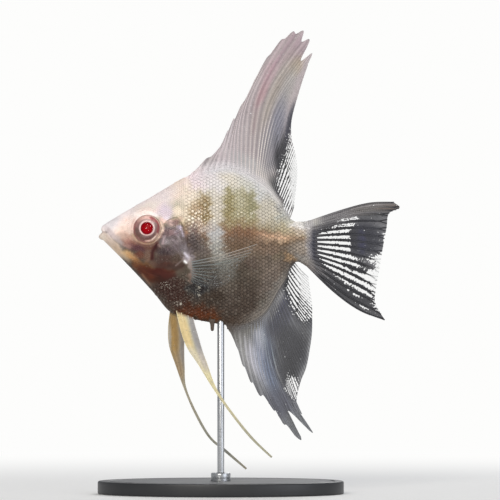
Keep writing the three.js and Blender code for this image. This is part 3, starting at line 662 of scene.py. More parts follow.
def per_mm(size):
    """The scale, on Object coordinates in metres, of a pattern with marks of so many millimetres."""
    return 1 / (size * MM)


def new_material(name, **constants):
    """A material with one principled shader, and its Object coordinates; constants go on sockets."""
    material = bpy.data.materials.new(name)
    material.use_nodes = True
    tree = material.node_tree
    shader = tree.nodes["Principled BSDF"]
    for key, value in constants.items():
        shader.inputs[key.replace("_", " ")].default_value = value
    return material, tree, shader, put(tree, "ShaderNodeTexCoord").outputs["Object"]


def wire(tree, shader, **sources):
    """Links a source to each of a shader's sockets that is named."""
    for key, source in sources.items():
        tree.links.new(source, shader.inputs[key.replace("_", " ")])


def stored(tree, name):
    """The value that a piece stores under a name."""
    return put(tree, "ShaderNodeAttribute", attribute_name=name).outputs["Fac"]


def tinted(tree, tone):
    """The colour that a piece stores as "marking", times a tone."""
    marking = put(tree, "ShaderNodeAttribute", attribute_name="marking").outputs["Color"]
    return put(tree, "ShaderNodeVectorMath", {0: marking, "Scale": tone}, operation="SCALE").outputs[0]


def noise(tree, spot, size, detail, **more):
    """Cloudy noise with patches of about a size in millimetres."""
    return put(tree, "ShaderNodeTexNoise", {"Vector": spot, "Scale": per_mm(size), "Detail": detail,
        **more}).outputs["Fac"]


def ranged(tree, value, to_low, to_high, low=0.0, high=1.0):
    """A value moved from the range low to high on to another range."""
    return put(tree, "ShaderNodeMapRange", {"Value": value, "From Min": low, "From Max": high,
        "To Min": to_low, "To Max": to_high}).outputs[0]


def reckon(tree, operation, *values):
    """The result of one step of arithmetic."""
    return put(tree, "ShaderNodeMath", dict(enumerate(values)), operation=operation).outputs[0]


def mixed(tree, share, first, second):
    """A mix of two colours."""
    return put(tree, "ShaderNodeMix", {0: share, 6: first, 7: second}, data_type="RGBA").outputs[2]


def bump(tree, shader, height, strength, depth, **settings):
    """Makes a surface uneven by a pattern's heights, over a depth in millimetres."""
    node = put(tree, "ShaderNodeBump", {"Height": height, "Strength": strength,
        "Distance": depth * MM}, **settings)
    wire(tree, shader, Normal=node.outputs[0])


def geometry_tree(name, sizes):
    """A new geometry tree with a mesh coming in and going out, and a named input for each size."""
    tree = bpy.data.node_groups.new(name, "GeometryNodeTree")
    tree.interface.new_socket("Geometry", in_out="INPUT", socket_type="NodeSocketGeometry")
    tree.interface.new_socket("Geometry", in_out="OUTPUT", socket_type="NodeSocketGeometry")
    for size, value in sizes.items():
        kind = "NodeSocketInt" if isinstance(value, int) else "NodeSocketFloat"
        tree.interface.new_socket(size, in_out="INPUT", socket_type=kind)
    return tree, put(tree, "NodeGroupInput"), put(tree, "NodeGroupOutput")


def grow(piece, tree, sizes, drop=()):
    """Runs a geometry tree on a piece, and leaves the result as its plain mesh."""
    modifier = piece.modifiers.new("grow", "NODES")
    modifier.node_group = tree
    for item in tree.interface.items_tree:
        if item.name in sizes:
            modifier[item.identifier] = sizes[item.name]
    bpy.context.view_layer.update()
    graph = bpy.context.evaluated_depsgraph_get()
    mesh = bpy.data.meshes.new_from_object(piece.evaluated_get(graph), preserve_all_data_layers=True,
        depsgraph=graph)
    piece.modifiers.clear()
    piece.data = mesh
    for name in drop:
        layer = mesh.attributes.get(name)
        if layer:
            mesh.attributes.remove(layer)


def seat(piece, material, slot, *nodes):
    """Gives a finished piece its material, and says which CAD nodes it replaces. The slot is not used."""
    if material:
        piece.data.materials.append(material)
    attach(piece, "root")
    if nodes:
        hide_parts(*nodes)

# ---- Materials ----

SURROUND = "#fdfdfc"  # the studio's pale surround, as the camera sees it


def skin_material():
    """Fish skin: a scaleless dermis under a film of mucus, so soft colour under an even, wet gloss."""
    material, tree, shader, spot = new_material("mucus-coated fish skin", IOR=1.36, Coat_Weight=0.14,
        Specular_IOR_Level=0.35, Coat_Roughness=0.14, Coat_IOR=1.34)
    silver = stored(tree, "silver")
    # Pigment cells gather in clouds about 1.3 mm wide, and show one by one at about 0.28 mm.
    cloud = noise(tree, spot, 1.3, 4)
    cells = put(tree, "ShaderNodeTexVoronoi", {"Vector": spot, "Scale": per_mm(0.28)})
    tone = ranged(tree, cloud, 0.88, 1.1, 0.3, 0.7)
    grain = ranged(tree, cells.outputs["Distance"], 0.93, 1.05, 0.1, 0.7)
    both = reckon(tree, "MULTIPLY", tone, grain)
    # The silver of the gill cover is crinkled like foil, in folds about 1.1 mm wide.
    foil = noise(tree, spot, 1.1, 4, Roughness=0.65, Distortion=0.8)
    crinkle = reckon(tree, "MULTIPLY_ADD", ranged(tree, foil, -0.5, 0.8, 0.35, 0.68), silver, 1)
    both = reckon(tree, "MULTIPLY", both, crinkle)
    # Guanine under the skin turns it to silver where the gill cover and the flank shine.
    wire(tree, shader, Base_Color=tinted(tree, both), Metallic=reckon(tree, "MULTIPLY", silver, 0.45),
        Roughness=ranged(tree, cloud, 0.36, 0.5, 0.3, 0.7))
    # Pores about 0.35 mm wide.
    bump(tree, shader, noise(tree, spot, 0.35, 3), 0.35, 0.05)
    return material


def scale_material():
    """Fish scales: thin clear bone silvered from beneath by guanine, glossy, with growth rings and painted
    glints.
    """
    material, tree, shader, spot = new_material("guanine-silvered scale bone", IOR=1.42,
        Coat_Weight=0.08, Specular_IOR_Level=0.3, Coat_Roughness=0.12)
    tone, painted_glint_chance, net, glitter_at, rim = (stored(tree, name)
        for name in ("tone", "painted_glint_chance", "net", "glitter", "rim"))
    # Each plate is a little lighter or darker than its neighbours.
    shade = ranged(tree, tone, ranged(tree, net, 0.98, 0.79), ranged(tree, net, 1.02, 1.21))
    # The middle of the part that shows is pale; dark pigment lines the plate's edge like a net.
    pale = ranged(tree, rim, 0.48, -0.16, 0.05, 0.6)
    both = reckon(tree, "MULTIPLY", shade, reckon(tree, "MULTIPLY_ADD", pale, net, 1))
    # Pigment cells dust every plate with specks about 0.3 mm wide.
    dust = noise(tree, spot, 0.3, 2)
    grain = ranged(tree, dust, ranged(tree, net, 0.97, 0.76), ranged(tree, net, 1.03, 1.24), 0.3, 0.7)
    both = reckon(tree, "MULTIPLY", both, grain)
    # A few plates, picked at random, carry a painted glint: their colour turns near white, with a little
    # metal, in their middle.
    painted_flash = reckon(tree, "MULTIPLY", ranged(tree, painted_glint_chance, 0, 1, 0.72, 0.98), glitter_at)
    painted_flash = reckon(tree, "MULTIPLY", painted_flash, ranged(tree, rim, 1, 0.15, 0.2, 0.9))
    painted_flash = reckon(tree, "MULTIPLY", painted_flash, ranged(tree, dust, 0.2, 1, 0.42, 0.56))
    # Specks of silver dust between them carry painted glints as well, where the scales have them.
    painted_speck = reckon(tree, "MULTIPLY", ranged(tree, dust, 0, 0.7, 0.58, 0.68), glitter_at)
    painted_flash = reckon(tree, "MAXIMUM", painted_flash, painted_speck)
    wire(tree, shader, Base_Color=mixed(tree, painted_flash, tinted(tree, both), colour("#f3ecdc")),
        Metallic=ranged(tree, painted_flash, 0.05, 0.4), Roughness=ranged(tree, tone, 0.3, 0.46))
    # Growth rings round the plate's focus, about 0.07 mm apart, which is coarser than real ones.
    rings = reckon(tree, "SINE", reckon(tree, "MULTIPLY", rim, 44))
    bump(tree, shader, rings, 0.12, 0.02)
    return material


def membrane_material():
    """Fin membrane: a film of living tissue, clear as wet film where it carries no pigment."""
    material, tree, shader, spot = new_material("pigmented fin membrane", IOR=1.38, Coat_Weight=0.25,
        Coat_Roughness=0.2)
    # Blood vessels and pigment cells mottle the film, in patches about 0.7 mm wide.
    cloud = noise(tree, spot, 0.7, 4)
    # Where the pigment thins out it breaks up into specks about 0.4 mm wide, and leaves clear film.
    specks = noise(tree, spot, 0.4, 1)
    over = reckon(tree, "SUBTRACT", specks, ranged(tree, stored(tree, "veil"), 0.72, 0.26))
    wire(tree, shader, Base_Color=tinted(tree, ranged(tree, cloud, 0.9, 1.08, 0.3, 0.7)),
        Alpha=ranged(tree, over, 0.03, 0.98, -0.03, 0.05), Roughness=ranged(tree, cloud, 0.34, 0.5))
    # Wrinkles about 0.22 mm wide.
    bump(tree, shader, noise(tree, spot, 0.22, 2), 0.3, 0.04)
    return material


def ray_material():
    """Fin rays: split, jointed bone under a skin of tissue; each joint is a thin darker ring."""
    material, tree, shader, _ = new_material("jointed fin-ray bone", IOR=1.5, Coat_Weight=0.2,
        Coat_Roughness=0.25)
    # "run" is the distance along the ray in millimetres; the joints are 0.55 mm apart.
    turn = reckon(tree, "MULTIPLY", stored(tree, "run"), 2 * math.pi / 0.55)
    wave = reckon(tree, "COSINE", turn)
    wire(tree, shader, Base_Color=tinted(tree, ranged(tree, wave, 1.06, 0.72, 0.4, 1)),
        Roughness=ranged(tree, wave, 0.36, 0.55, -1, 1), Alpha=stored(tree, "veil"))
    bump(tree, shader, wave, 0.3, 0.03, invert=True)
    return material


def iris_material():
    """The iris: a disc of pigment and mirror cells behind the cornea, finely flecked."""
    material, tree, shader, spot = new_material("pigmented iris tissue", IOR=1.36, Coat_Weight=0.5,
        Coat_Roughness=0.06)
    # The flecks are about 0.35 mm wide.
    fleck = noise(tree, spot, 0.35, 4)
    wire(tree, shader, Base_Color=tinted(tree, ranged(tree, fleck, 0.86, 1.12, 0.3, 0.7)),
        Metallic=reckon(tree, "MULTIPLY", stored(tree, "silver"), 0.5),
        Roughness=ranged(tree, fleck, 0.22, 0.4))
    bump(tree, shader, fleck, 0.4, 0.05)
    return material


def lens_material():
    """The lens: clear and smooth over the back of the eye, which shows through it in deep red."""
    material, tree, shader, spot = new_material("red eye lens", IOR=1.44, Specular_IOR_Level=0.03,
        Roughness=0.3, Coat_Weight=0.06, Coat_Roughness=0.03)
    # Blood vessels cloud the red in patches about 0.8 mm wide.
    blood = mixed(tree, noise(tree, spot, 0.8, 3), colour("#98000d"), colour("#aa0411"))
    edge = ranged(tree, stored(tree, "rim"), 0, 1, 0.5, 1)
    wire(tree, shader, Base_Color=mixed(tree, edge, blood, colour("#840414")))
    return material


def cornea_material():
    """The cornea: a clear, wet window; all that shows of it is its gloss."""
    material, tree, shader, _ = new_material("clear wet cornea", IOR=1.376, Roughness=0.03,
        Alpha=0.05, Coat_Weight=0.5, Coat_Roughness=0.02)
    facing = put(tree, "ShaderNodeLayerWeight", {"Blend": 0.3})
    wire(tree, shader, Base_Color=mixed(tree, facing.outputs["Facing"], colour("#16181a"),
        colour("#24282a")))
    return material


def coated_steel_material():
    """Steel plate, powder-coated satin black: an even, faintly pebbled film with a soft gloss."""
    material, tree, shader, spot = new_material("satin black powder-coated steel", IOR=1.5,
        Coat_Weight=0.12, Coat_Roughness=0.3)
    # The film's tone varies in patches about 9 mm wide, and its pebbles are about 0.5 mm wide.
    dust = noise(tree, spot, 9, 5)
    wire(tree, shader, Base_Color=mixed(tree, dust, colour("#1b1c1e"), colour("#2b2c2f")),
        Roughness=ranged(tree, dust, 0.36, 0.52))
    bump(tree, shader, noise(tree, spot, 0.5, 2), 0.25, 0.06)
    return material


def brushed_steel_material():
    """Stainless steel rod, turned and brushed: fine rings round it, bright and slightly soft."""
    material, tree, shader, spot = new_material("brushed stainless steel", Metallic=1.0,
        Anisotropic=0.4)
    # The brush leaves lines about 0.15 mm apart round the rod, so the pattern is drawn out round it.
    drawn_out = put(tree, "ShaderNodeMapping", {"Vector": spot, "Scale": (0.05, 0.05, 1)})
    lines = noise(tree, drawn_out.outputs[0], 0.15, 2)
    wire(tree, shader, Base_Color=mixed(tree, lines, colour("#a9abae"), colour("#cfd1d3")),
        Roughness=ranged(tree, lines, 0.2, 0.4))
    bump(tree, shader, lines, 0.2, 0.01)
    return material


def paper_material():
    """Studio paper: matt, pale and even, with a trace of fibre; it fades into the pale surround."""
    material, tree, shader, spot = new_material("matt studio paper", IOR=1.45)
    # The fibre clouds it in patches about 3 mm wide.
    fibre = noise(tree, spot, 3, 4)
    wire(tree, shader, Base_Color=mixed(tree, fibre, colour("#f2f2f1"), colour("#f7f7f6")),
        Roughness=ranged(tree, fibre, 0.85, 0.95))
    away = put(tree, "ShaderNodeVectorMath", {0: spot}, operation="LENGTH")
    fade = put(tree, "ShaderNodeMapRange", {"Value": away.outputs["Value"], "From Min": 0.08,
        "From Max": 0.3}, interpolation_type="SMOOTHSTEP")
    glow = put(tree, "ShaderNodeEmission", {"Color": colour(SURROUND), "Strength": 1.0})
    both = put(tree, "ShaderNodeMixShader", {0: fade.outputs[0], 1: shader.outputs[0],
        2: glow.outputs[0]})
    output = next(node for node in tree.nodes if node.type == "OUTPUT_MATERIAL")
    tree.links.new(both.outputs[0], output.inputs["Surface"])
    return material

# ---- The skin ----

SNOUT_ROUND = 1.2  # the snout's round front, in millimetres of station
CHIN_LEVEL = -0.55
SKIN_END = 56.5
SKIN_RINGS = (16, 250)  # over the snout's round front, and behind it
SKIN_TURNS = 368
# The jaws' step: how far each level of the snout's front lies behind the tip of the lower jaw.
JAW_STEP = curve([[-0.8, 0], [-0.2, 0.3], [0.3, 0.8], [0.45, 1.05], [0.6, 0.8], [1.1, 0.5], [2.4, 0.2]])

# Folds of the skin: a line, its half-width and how far it stands out, or sinks in.
FOLDS = [
    ["mouth slit", [[0.6, 0.52], [1.2, 0.5], [1.7, 0.42], [2.2, 0.3]], 0.14, -0.07],
    ["upper lip", [[0.7, 1.1], [1.5, 1.0], [2.3, 0.8], [2.8, 0.1], [2.6, -0.4]], 0.3, 0.08],
    ["lower lip", [[0.2, -0.1], [1.1, 0.05], [2.0, -0.15]], 0.28, 0.07],
    ["jaw bone", [[2.6, 0.9], [3.4, -0.3], [4.4, -1.6], [5.2, -2.4]], 0.5, 0.1],
    ["jaw groove", [[2.5, 0.2], [3.2, -0.9], [4.2, -2.1], [5.4, -3], [6.9, -3.6]], 0.16, -0.13],
    ["chin groove", [[1.4, -1.1], [3.4, -3.2], [5.6, -5.4]], 0.16, -0.07],
    ["gill arch edge", [[6.9, -3.6], [8.2, -5.2], [9.3, -7], [11, -8.9], [13.6, -10.4],
        [16.6, -11.2]], 0.2, -0.14],
    ["under the cheek", [[6.6, 0.4], [8, -1.6], [9.6, -3.2], [12, -4.4], [14, -4.4]], 0.3, -0.06],
    ["preopercle groove", [[p[0] + 0.3, p[1] - 0.2] for p in PREOPERCLE], 0.17, -0.15],
    ["preopercle edge", [[p[0] - 0.2, p[1] + 0.1] for p in PREOPERCLE], 0.32, 0.11],
    ["brow", [[8.6, 5], [11, 6.2], [14, 6.3], [16.6, 4.8]], 0.7, 0.1],
    ["lateral line", LATERAL_LINE, 0.22, 0.05],
]
# Membrane folds under the jaw, one for each of its bones.
FOLDS += [["gill membrane", [[8 + 0.9 * k, -8.3 - 0.95 * k], [12 + 0.9 * k, -10.7 - 0.62 * k],
    [17 + 0.7 * k, -12 - 0.4 * k]], 0.14, -0.07] for k in range(4)]


def body_surface(s, turn, inset=0.0):
    """The plain body: turn 0 is the belly's edge and pi the back's, the left side first."""
    at = np.maximum(s, SNOUT_ROUND)
    low, middle, high = BELLY(at) + inset, WIDEST_LEVEL(at), BACK(at) - inset
    lift = -np.cos(turn)
    h = middle + lift * np.where(lift > 0, high - middle, middle - low)
    keel = np.where(lift > 0, BACK_KEEL(at), BELLY_KEEL(at))
    width = (HALF_WIDTH(at) - inset) * stalk_thins(at)
    y = -np.sign(np.sin(turn)) * width * np.maximum(1 - lift**2, 0) ** keel
    round_front = np.sqrt(np.clip(1 - (1 - np.minimum(s, SNOUT_ROUND) / SNOUT_ROUND) ** 2, 0, 1))
    h = CHIN_LEVEL + (h - CHIN_LEVEL) * round_front
    y = y * round_front
    back = JAW_STEP(h) * (1 - smooth(s, 0.6, 3.0))
    return np.stack([s + back, y + swing(s), h], -1)


def relief(s, h):
    """How far the skin stands out of the plain body at each station and level."""
    out = np.zeros(np.shape(s))
    for _, line, width, height in FOLDS:
        distance, share = line_distance(line, s, h)
        fade = smooth(share, 0, 0.12) * smooth(share, 1, 0.88) if line is not LATERAL_LINE else 1
        out += height * bell(distance, width) * (0.25 + 0.75 * fade)
    # The gill cover is a flap: its hind edge stands off the shoulder.
    away = away_from(GILL_LINE, s, h)
    flap = inside(GILL_LINE[:-1], s, h)
    behind = smooth(s, 15, 20) * (0.5 + 0.5 * smooth(h, -9, -5))
    out += np.where(flap, 0.34 * behind * smooth(away, 0, 0.3), -0.16 * behind * bell(away, 0.35))
    # Fine ridges fan out over it from its upper front corner.
    fan = np.arctan2(h - 2.2, s - 16.6)
    out += np.where(flap, 0.025 * np.sin(fan * 46) * smooth(away, 0.1, 0.9), 0)
    # The root of the breast fin, the cheek's swelling and the nostril.
    out += 0.5 * blot(s, h, (24.1, -9.7), (0.9, 2.9), 8, 0.45)
    out += 0.12 * blot(s, h, (10.6, -5.6), (3.4, 1.7), -28, 0.6)
    nostril = np.hypot(s - 7.2, h - 3.5)
    out += 0.1 * bell(nostril - 0.42, 0.16) - 0.4 * bell(nostril, 0.26)
    # The eye's rim, and the socket that the eye stands in.
    radius = np.hypot(s - EYE_AT[0], h - EYE_AT[1])
    lid = smooth(0.5 * (s - EYE_AT[0]) - (h - EYE_AT[1]), -2.6, 1.6)  # it is thickest below and behind
    out += (0.05 + 0.12 * lid) * bell(radius - EYE_RADIUS - 0.22, 0.34)
    out -= 0.06 * lid * bell(radius - EYE_RADIUS - 0.82, 0.25)
    out -= 1.5 * smooth(radius, EYE_RADIUS + 0.02, EYE_RADIUS - 0.22)
    # Muscle blocks show as faint bands on the hind flank.
    bands = np.sin((s + 0.35 * np.abs(h + 1.5)) * 2 * np.pi / 1.9)
    out += 0.02 * bands * smooth(s, 40, 48)
    return out


def shine(s, h):
    """How silvered the skin is, 0 to 1."""
    flap = blot(s, h, (19.4, -1.6), (4, 6.2), -8, 0.4)
    edge = bell(away_from([(20.6, 1.6), (21.8, -3.2), (23.4, -6.6)], s, h), 0.6)
    rim = np.hypot(s - EYE_AT[0], h - EYE_AT[1])
    return np.clip(0.8 * flap + 0.5 * edge + 0.25 * bell(rim - EYE_RADIUS - 0.4, 0.4), 0, 1)


def eye_rim(skin_colour, s, h):
    """The pale gold ring of skin round the eye, laid over the skin's colour."""
    x, z = s - EYE_AT[0], h - EYE_AT[1]
    out = np.hypot(x + 0.3 * smooth(x, 0, 3), z) - EYE_RADIUS
    lid = smooth(np.hypot(x - LID_AT[0], z - LID_AT[1]), 3.74, 3.46)
    below = smooth(-z + 0.8 * x, -0.8, 3)  # the ring is plainest below, and palest behind
    behind = smooth(x + 0.3 * z, 0.2, 2.2)
    ring = bell(np.hypot(x, z) - EYE_RADIUS - 0.4, 0.38)
    for cover, code in (
        ((0.75 - 0.5 * smooth(z, 1.6, 3.2)) * lid, "#a2726c"),
        (0.8 * below * bell(out - 0.08, 0.42), "#a8846b"),
        (0.7 * below * behind * bell(out - 0.08, 0.42), "#cfb09c"),
        # A thin, paler line within the ring, below and behind, is a painted highlight.
        (0.7 * below * (0.3 + 0.7 * behind) * bell(out - 0.36, 0.15), "#e6cdb9"),
        (0.6 * below * bell(out - 0.85, 0.22), "#7a5a50"),
        (0.8 * ring * smooth(x, 3.2, 3.9) * smooth(z, -1.6, -0.2), "#dfc9b7"),
        (0.6 * ring * smooth(-x, 2.4, 3.6) * smooth(z, -1.6, 0), "#cda599"),
        (0.7 * ring * smooth(-x, 2, 3) * smooth(-z, 0.8, 1.6), "#cba893"),
    ):
        skin_colour = wash(skin_colour, cover, code)
    return skin_colour


def coat_colour(s, h):
    """The linear colour of the skin and scales at each station and level."""
    return linear(eye_rim(body_marking(s, h), s, h))


def wound(even):
    """Even turns round the body, drawn towards its edges."""
    return even + 0.22 * np.sin(2 * even)


def skin_spots(s, even):
    """Places on the skin's unwrap, by station and by even turn."""
    return np.stack([s / SKIN_END * 0.9 + 0.02, even / (2 * np.pi) * 0.96 + 0.02 + 0 * s], -1)


def build_skin(material):
    """One closed skin over head, jaw, gill covers, trunk and stalk, with the vent's papilla."""
    front, rest = SKIN_RINGS
    t = np.linspace(0, 1, rest + 1)
    behind = SNOUT_ROUND + (SKIN_END - SNOUT_ROUND) * (0.62 * t + 0.38 * t * t)
    before = SNOUT_ROUND * (1 - np.cos(np.linspace(0, 0.5, front + 1)[1:-1] * np.pi))
    stations = np.concatenate([before, behind])
    even = np.arange(SKIN_TURNS) * 2 * np.pi / SKIN_TURNS
    s, turn = np.meshgrid(stations, wound(even), indexing="ij")
    base = body_surface(s, turn, COAT_DEPTH)
    along_body = np.gradient(base, axis=0)
    round_body = (np.roll(base, -1, axis=1) - np.roll(base, 1, axis=1)) / 2
    normal = np.cross(round_body, along_body)
    normal /= np.maximum(np.linalg.norm(normal, axis=-1, keepdims=True), 1e-9)
    if normal[rest // 2, SKIN_TURNS // 4, 1] > 0:  # the left side faces -y
        normal = -normal
    flat_s, flat_h = base[..., 0], base[..., 2]
    out = relief(flat_s, flat_h) * smooth(s, 0, 0.25) * smooth(s, SKIN_END, SKIN_END - 3)
    points = (base + normal * out[..., None]).reshape(-1, 3)
    marks = coat_colour(flat_s, flat_h).reshape(-1, 3)
    tip = [[JAW_STEP(CHIN_LEVEL), 0, CHIN_LEVEL]]
    end = [[SKIN_END + 0.5, float(swing(np.full(1, SKIN_END + 0.5))[0]), -3.1]]
    papilla, papilla_faces = papilla_tube(len(points) + 2)
    tint = body_marking(np.array([PAPILLA_STATION]), np.array([-22.6]))
    tint = wash(tint, np.array([0.7]), "#5d534c")
    tint = np.repeat(linear(tint), len(papilla), axis=0)
    faces = tube_faces(len(stations), SKIN_TURNS) + papilla_faces
    piece = mesh_piece("skin", place(np.concatenate([points, tip, end, papilla])), faces)
    give_colours(piece, np.concatenate([marks, marks[:1], marks[-1:], tint]))
    bare = np.zeros(2 + len(papilla))
    give(piece, "silver", np.concatenate([shine(flat_s, flat_h).ravel(), bare]))
    spots = skin_spots(s, even[None, :]).reshape(-1, 2)
    papilla_spots = np.full((len(papilla), 2), 0.985)
    give_map(piece, np.concatenate([spots, [[0.02, 0.5]], [[0.95, 0.5]], papilla_spots]))
    seat(piece, material, "skin", "head", "lower_jaw", "gill_cover_left", "gill_cover_right",
        "trunk", "tail_stalk", "vent_papilla")


PAPILLA_STATION = 29.6
PAPILLA_PROFILE = [[1.1, -22.2], [0.72, -22.9], [0.5, -23.4], [0.42, -24.2], [0.4, -24.8],
    [0.3, -25.15], [0.12, -25.28]]  # radius and level, down from the belly


def papilla_tube(start):
    """The vent's papilla: a small blunt tube that flares into the belly."""
    around = 20
    turn = np.arange(around) * 2 * np.pi / around
    rows = [np.stack([PAPILLA_STATION + r * np.cos(turn) * 1.15, r * np.sin(turn), np.full(around, h)], -1)
        for r, h in PAPILLA_PROFILE]
    faces = grid_faces(len(rows), around, closed=True, start=start)
    faces.append([start + j for j in range(around)])
    faces.append([start + (len(rows) - 1) * around + j for j in reversed(range(around))])
    return np.concatenate(rows), faces


# ---- The scales ----

COLUMN_STEP = 0.8  # between two columns of scales along the flank, in millimetres
ROW_STEP = 0.95
# One scale, as rows from its root to its free edge: how far along, half-width and height of its top.
PLATE_ROWS = [[-0.46, 0.30, -0.05], [-0.18, 0.5, 0.02], [0.16, 0.56, 0.07], [0.48, 0.5, 0.105],
    [0.74, 0.28, 0.12]]
PLATE_COLUMNS = np.array([-1, -0.55, 0, 0.55, 1])
PLATE_LENGTH = 1.2  # from root to free edge
PATCH = 0.003  # one scale's length on the unwrap


def plate_piece():
    """One scale as a piece of its own, with its root at -x and its free edge at +x, facing +z."""
    top = []
    for x, half, z in PLATE_ROWS:
        bow = 0.16 * (half / 0.56) * PLATE_COLUMNS**2
        top += [[x - b * (x > 0), half * c, z - 0.05 * c * c] for c, b in zip(PLATE_COLUMNS, bow)]
    top = np.array(top)
    rows, columns = len(PLATE_ROWS), len(PLATE_COLUMNS)
    faces = grid_faces(rows, columns)
    ring = [j for j in range(columns)] + [i * columns + columns - 1 for i in range(1, rows)]
    ring += [(rows - 1) * columns + j for j in reversed(range(columns - 1))]
    ring += [i * columns for i in reversed(range(1, rows - 1))]
    under = top.mean(0) - (0, 0, 0.06)
    points = np.vstack([top, under])
    faces += [[ring[k], ring[(k + 1) % len(ring)], len(top)] for k in range(len(ring))]
    piece = mesh_piece("plate", points * MM, faces)
    edge = np.zeros(len(points))
    edge[:-1] = np.hypot((top[:, 0] - 0.3) / 0.46, top[:, 1] / 0.58)
    give(piece, "rim", np.clip(edge, 0, 1))
    give(piece, "patch", points * (1 / PLATE_LENGTH, 1 / PLATE_LENGTH, 0))
    return piece


def named(tree, name, kind="FLOAT_VECTOR"):
    """What the points of a mesh carry under a name."""
    return put(tree, "GeometryNodeInputNamedAttribute", {"Name": name}, data_type=kind).outputs[0]


def finish_tree(tree, end, geometry, material):
    """Gives a geometry its material, and sends it out."""
    done = put(tree, "GeometryNodeSetMaterial", {0: geometry, 2: material})
    tree.links.new(done.outputs[0], end.inputs["Geometry"])
    return tree


def plate_tree(plate, material):
    """Sets a scale on every point of a mesh, facing along "facing" and lying along "lie"."""
    sizes = {"Size": 1.0, "Thickness": 1.0, "Lift": 0.0, "Uneven": 0.0, "Seed": 1}
    tree, start, end = geometry_tree("scales on the skin", sizes)
    turn = put(tree, "FunctionNodeAxesToRotation", {0: named(tree, "facing"), 1: named(tree, "lie")},
        primary_axis="Z", secondary_axis="X")
    low = reckon(tree, "MULTIPLY", start.outputs["Uneven"], -1)
    sway = put(tree, "FunctionNodeRandomValue", {2: low, 3: start.outputs["Uneven"],
        8: start.outputs["Seed"]}, data_type="FLOAT")
    pitch = reckon(tree, "ADD", start.outputs["Lift"], sway.outputs[1])
    tilt = put(tree, "FunctionNodeAxisAngleToRotation", {0: (0, 1, 0), 1: pitch})
    turned = put(tree, "FunctionNodeRotateRotation", {0: turn.outputs[0], 1: tilt.outputs[0]},
        rotation_space="LOCAL")
    size = reckon(tree, "MULTIPLY", start.outputs["Size"], named(tree, "size", "FLOAT"))
    thick = reckon(tree, "MULTIPLY", size, start.outputs["Thickness"])
    scale = put(tree, "ShaderNodeCombineXYZ", {0: size, 1: size, 2: thick})
    shape = put(tree, "GeometryNodeObjectInfo", {0: plate})
    geometry = put(tree, "GeometryNodeInstanceOnPoints", {0: start.outputs["Geometry"],
        2: shape.outputs["Geometry"], 5: turned.outputs[0], 6: scale.outputs[0]}).outputs[0]
    for step, name in enumerate(("tone", "painted_glint_chance")):
        seed = reckon(tree, "ADD", start.outputs["Seed"], 7 + step)
        chance = put(tree, "FunctionNodeRandomValue", {2: 0.0, 3: 1.0, 8: seed}, data_type="FLOAT")
        geometry = put(tree, "GeometryNodeStoreNamedAttribute", {0: geometry, 2: name,
            3: chance.outputs[1]}, data_type="FLOAT", domain="INSTANCE").outputs[0]
    real = put(tree, "GeometryNodeRealizeInstances", {0: geometry})
    local = put(tree, "ShaderNodeVectorMath", {0: named(tree, "patch"), "Scale": PATCH},
        operation="SCALE")
    spot = put(tree, "ShaderNodeVectorMath", {0: named(tree, "spot"), 1: local.outputs[0]},
        operation="ADD")
    mapped = put(tree, "GeometryNodeStoreNamedAttribute", {0: real.outputs[0], 2: "OFBake",
        3: spot.outputs[0]}, data_type="FLOAT2", domain="CORNER")
    return finish_tree(tree, end, mapped.outputs[0], material)


def scale_roots(side, share):
    """Where the scales of one flank are rooted: in columns, every second one half a row further on."""
    found = []
    row_step = ROW_STEP * share
    stations = np.arange(3.5, 57.5, COLUMN_STEP * share)
    fine = np.linspace(0.02, np.pi - 0.02, 900)
    for column, station in enumerate(stations):
        line = body_surface(np.full(len(fine), station), fine, COAT_DEPTH)
        run = running(np.linalg.norm(np.diff(line, axis=0), axis=1))
        middle = np.interp(WIDEST_LEVEL(station), line[:, 2], run)
        stagger = 0.5 * (column % 2)
        first = math.ceil(-middle / row_step - stagger)
        rows = np.arange(first, (run[-1] - middle) / row_step - stagger)
        at = middle + (rows + stagger) * row_step
        at = at[(at > 0.15) & (at < run[-1] - 0.15)]
        found.append(np.stack([np.full(len(at), station), np.interp(at, run, fine)], -1))
    s, turn = np.concatenate(found).T
    if side > 0:
        turn = 2 * np.pi - turn
    return s, turn


def set_scales(name, tree, seed, relief_share, at, colours=None, **layers):
    """Sets scales at places in millimetres and leaves them as one plain mesh.

    Without colours, every point of a scale takes the body's colour at its own place.
    """
    piece = mesh_piece(name, place(at), [])
    for layer, values in layers.items():
        give(piece, layer, values)
    if colours is not None:
        give_colours(piece, colours)
    sizes = {"Size": 1.0, "Thickness": relief_share, "Lift": math.radians(1.5 * relief_share),
        "Uneven": math.radians(3.5 * relief_share), "Seed": seed}
    grow(piece, tree, sizes, drop=("facing", "lie", "spot", "patch", "size"))
    if colours is None:
        give_colours(piece, coat_colour(*places_of(piece)))
    seat(piece, None, "skin")


ZONES = {"flank": 1.0, "face": 0.6, "margin": 0.55}  # and how close its scales stand


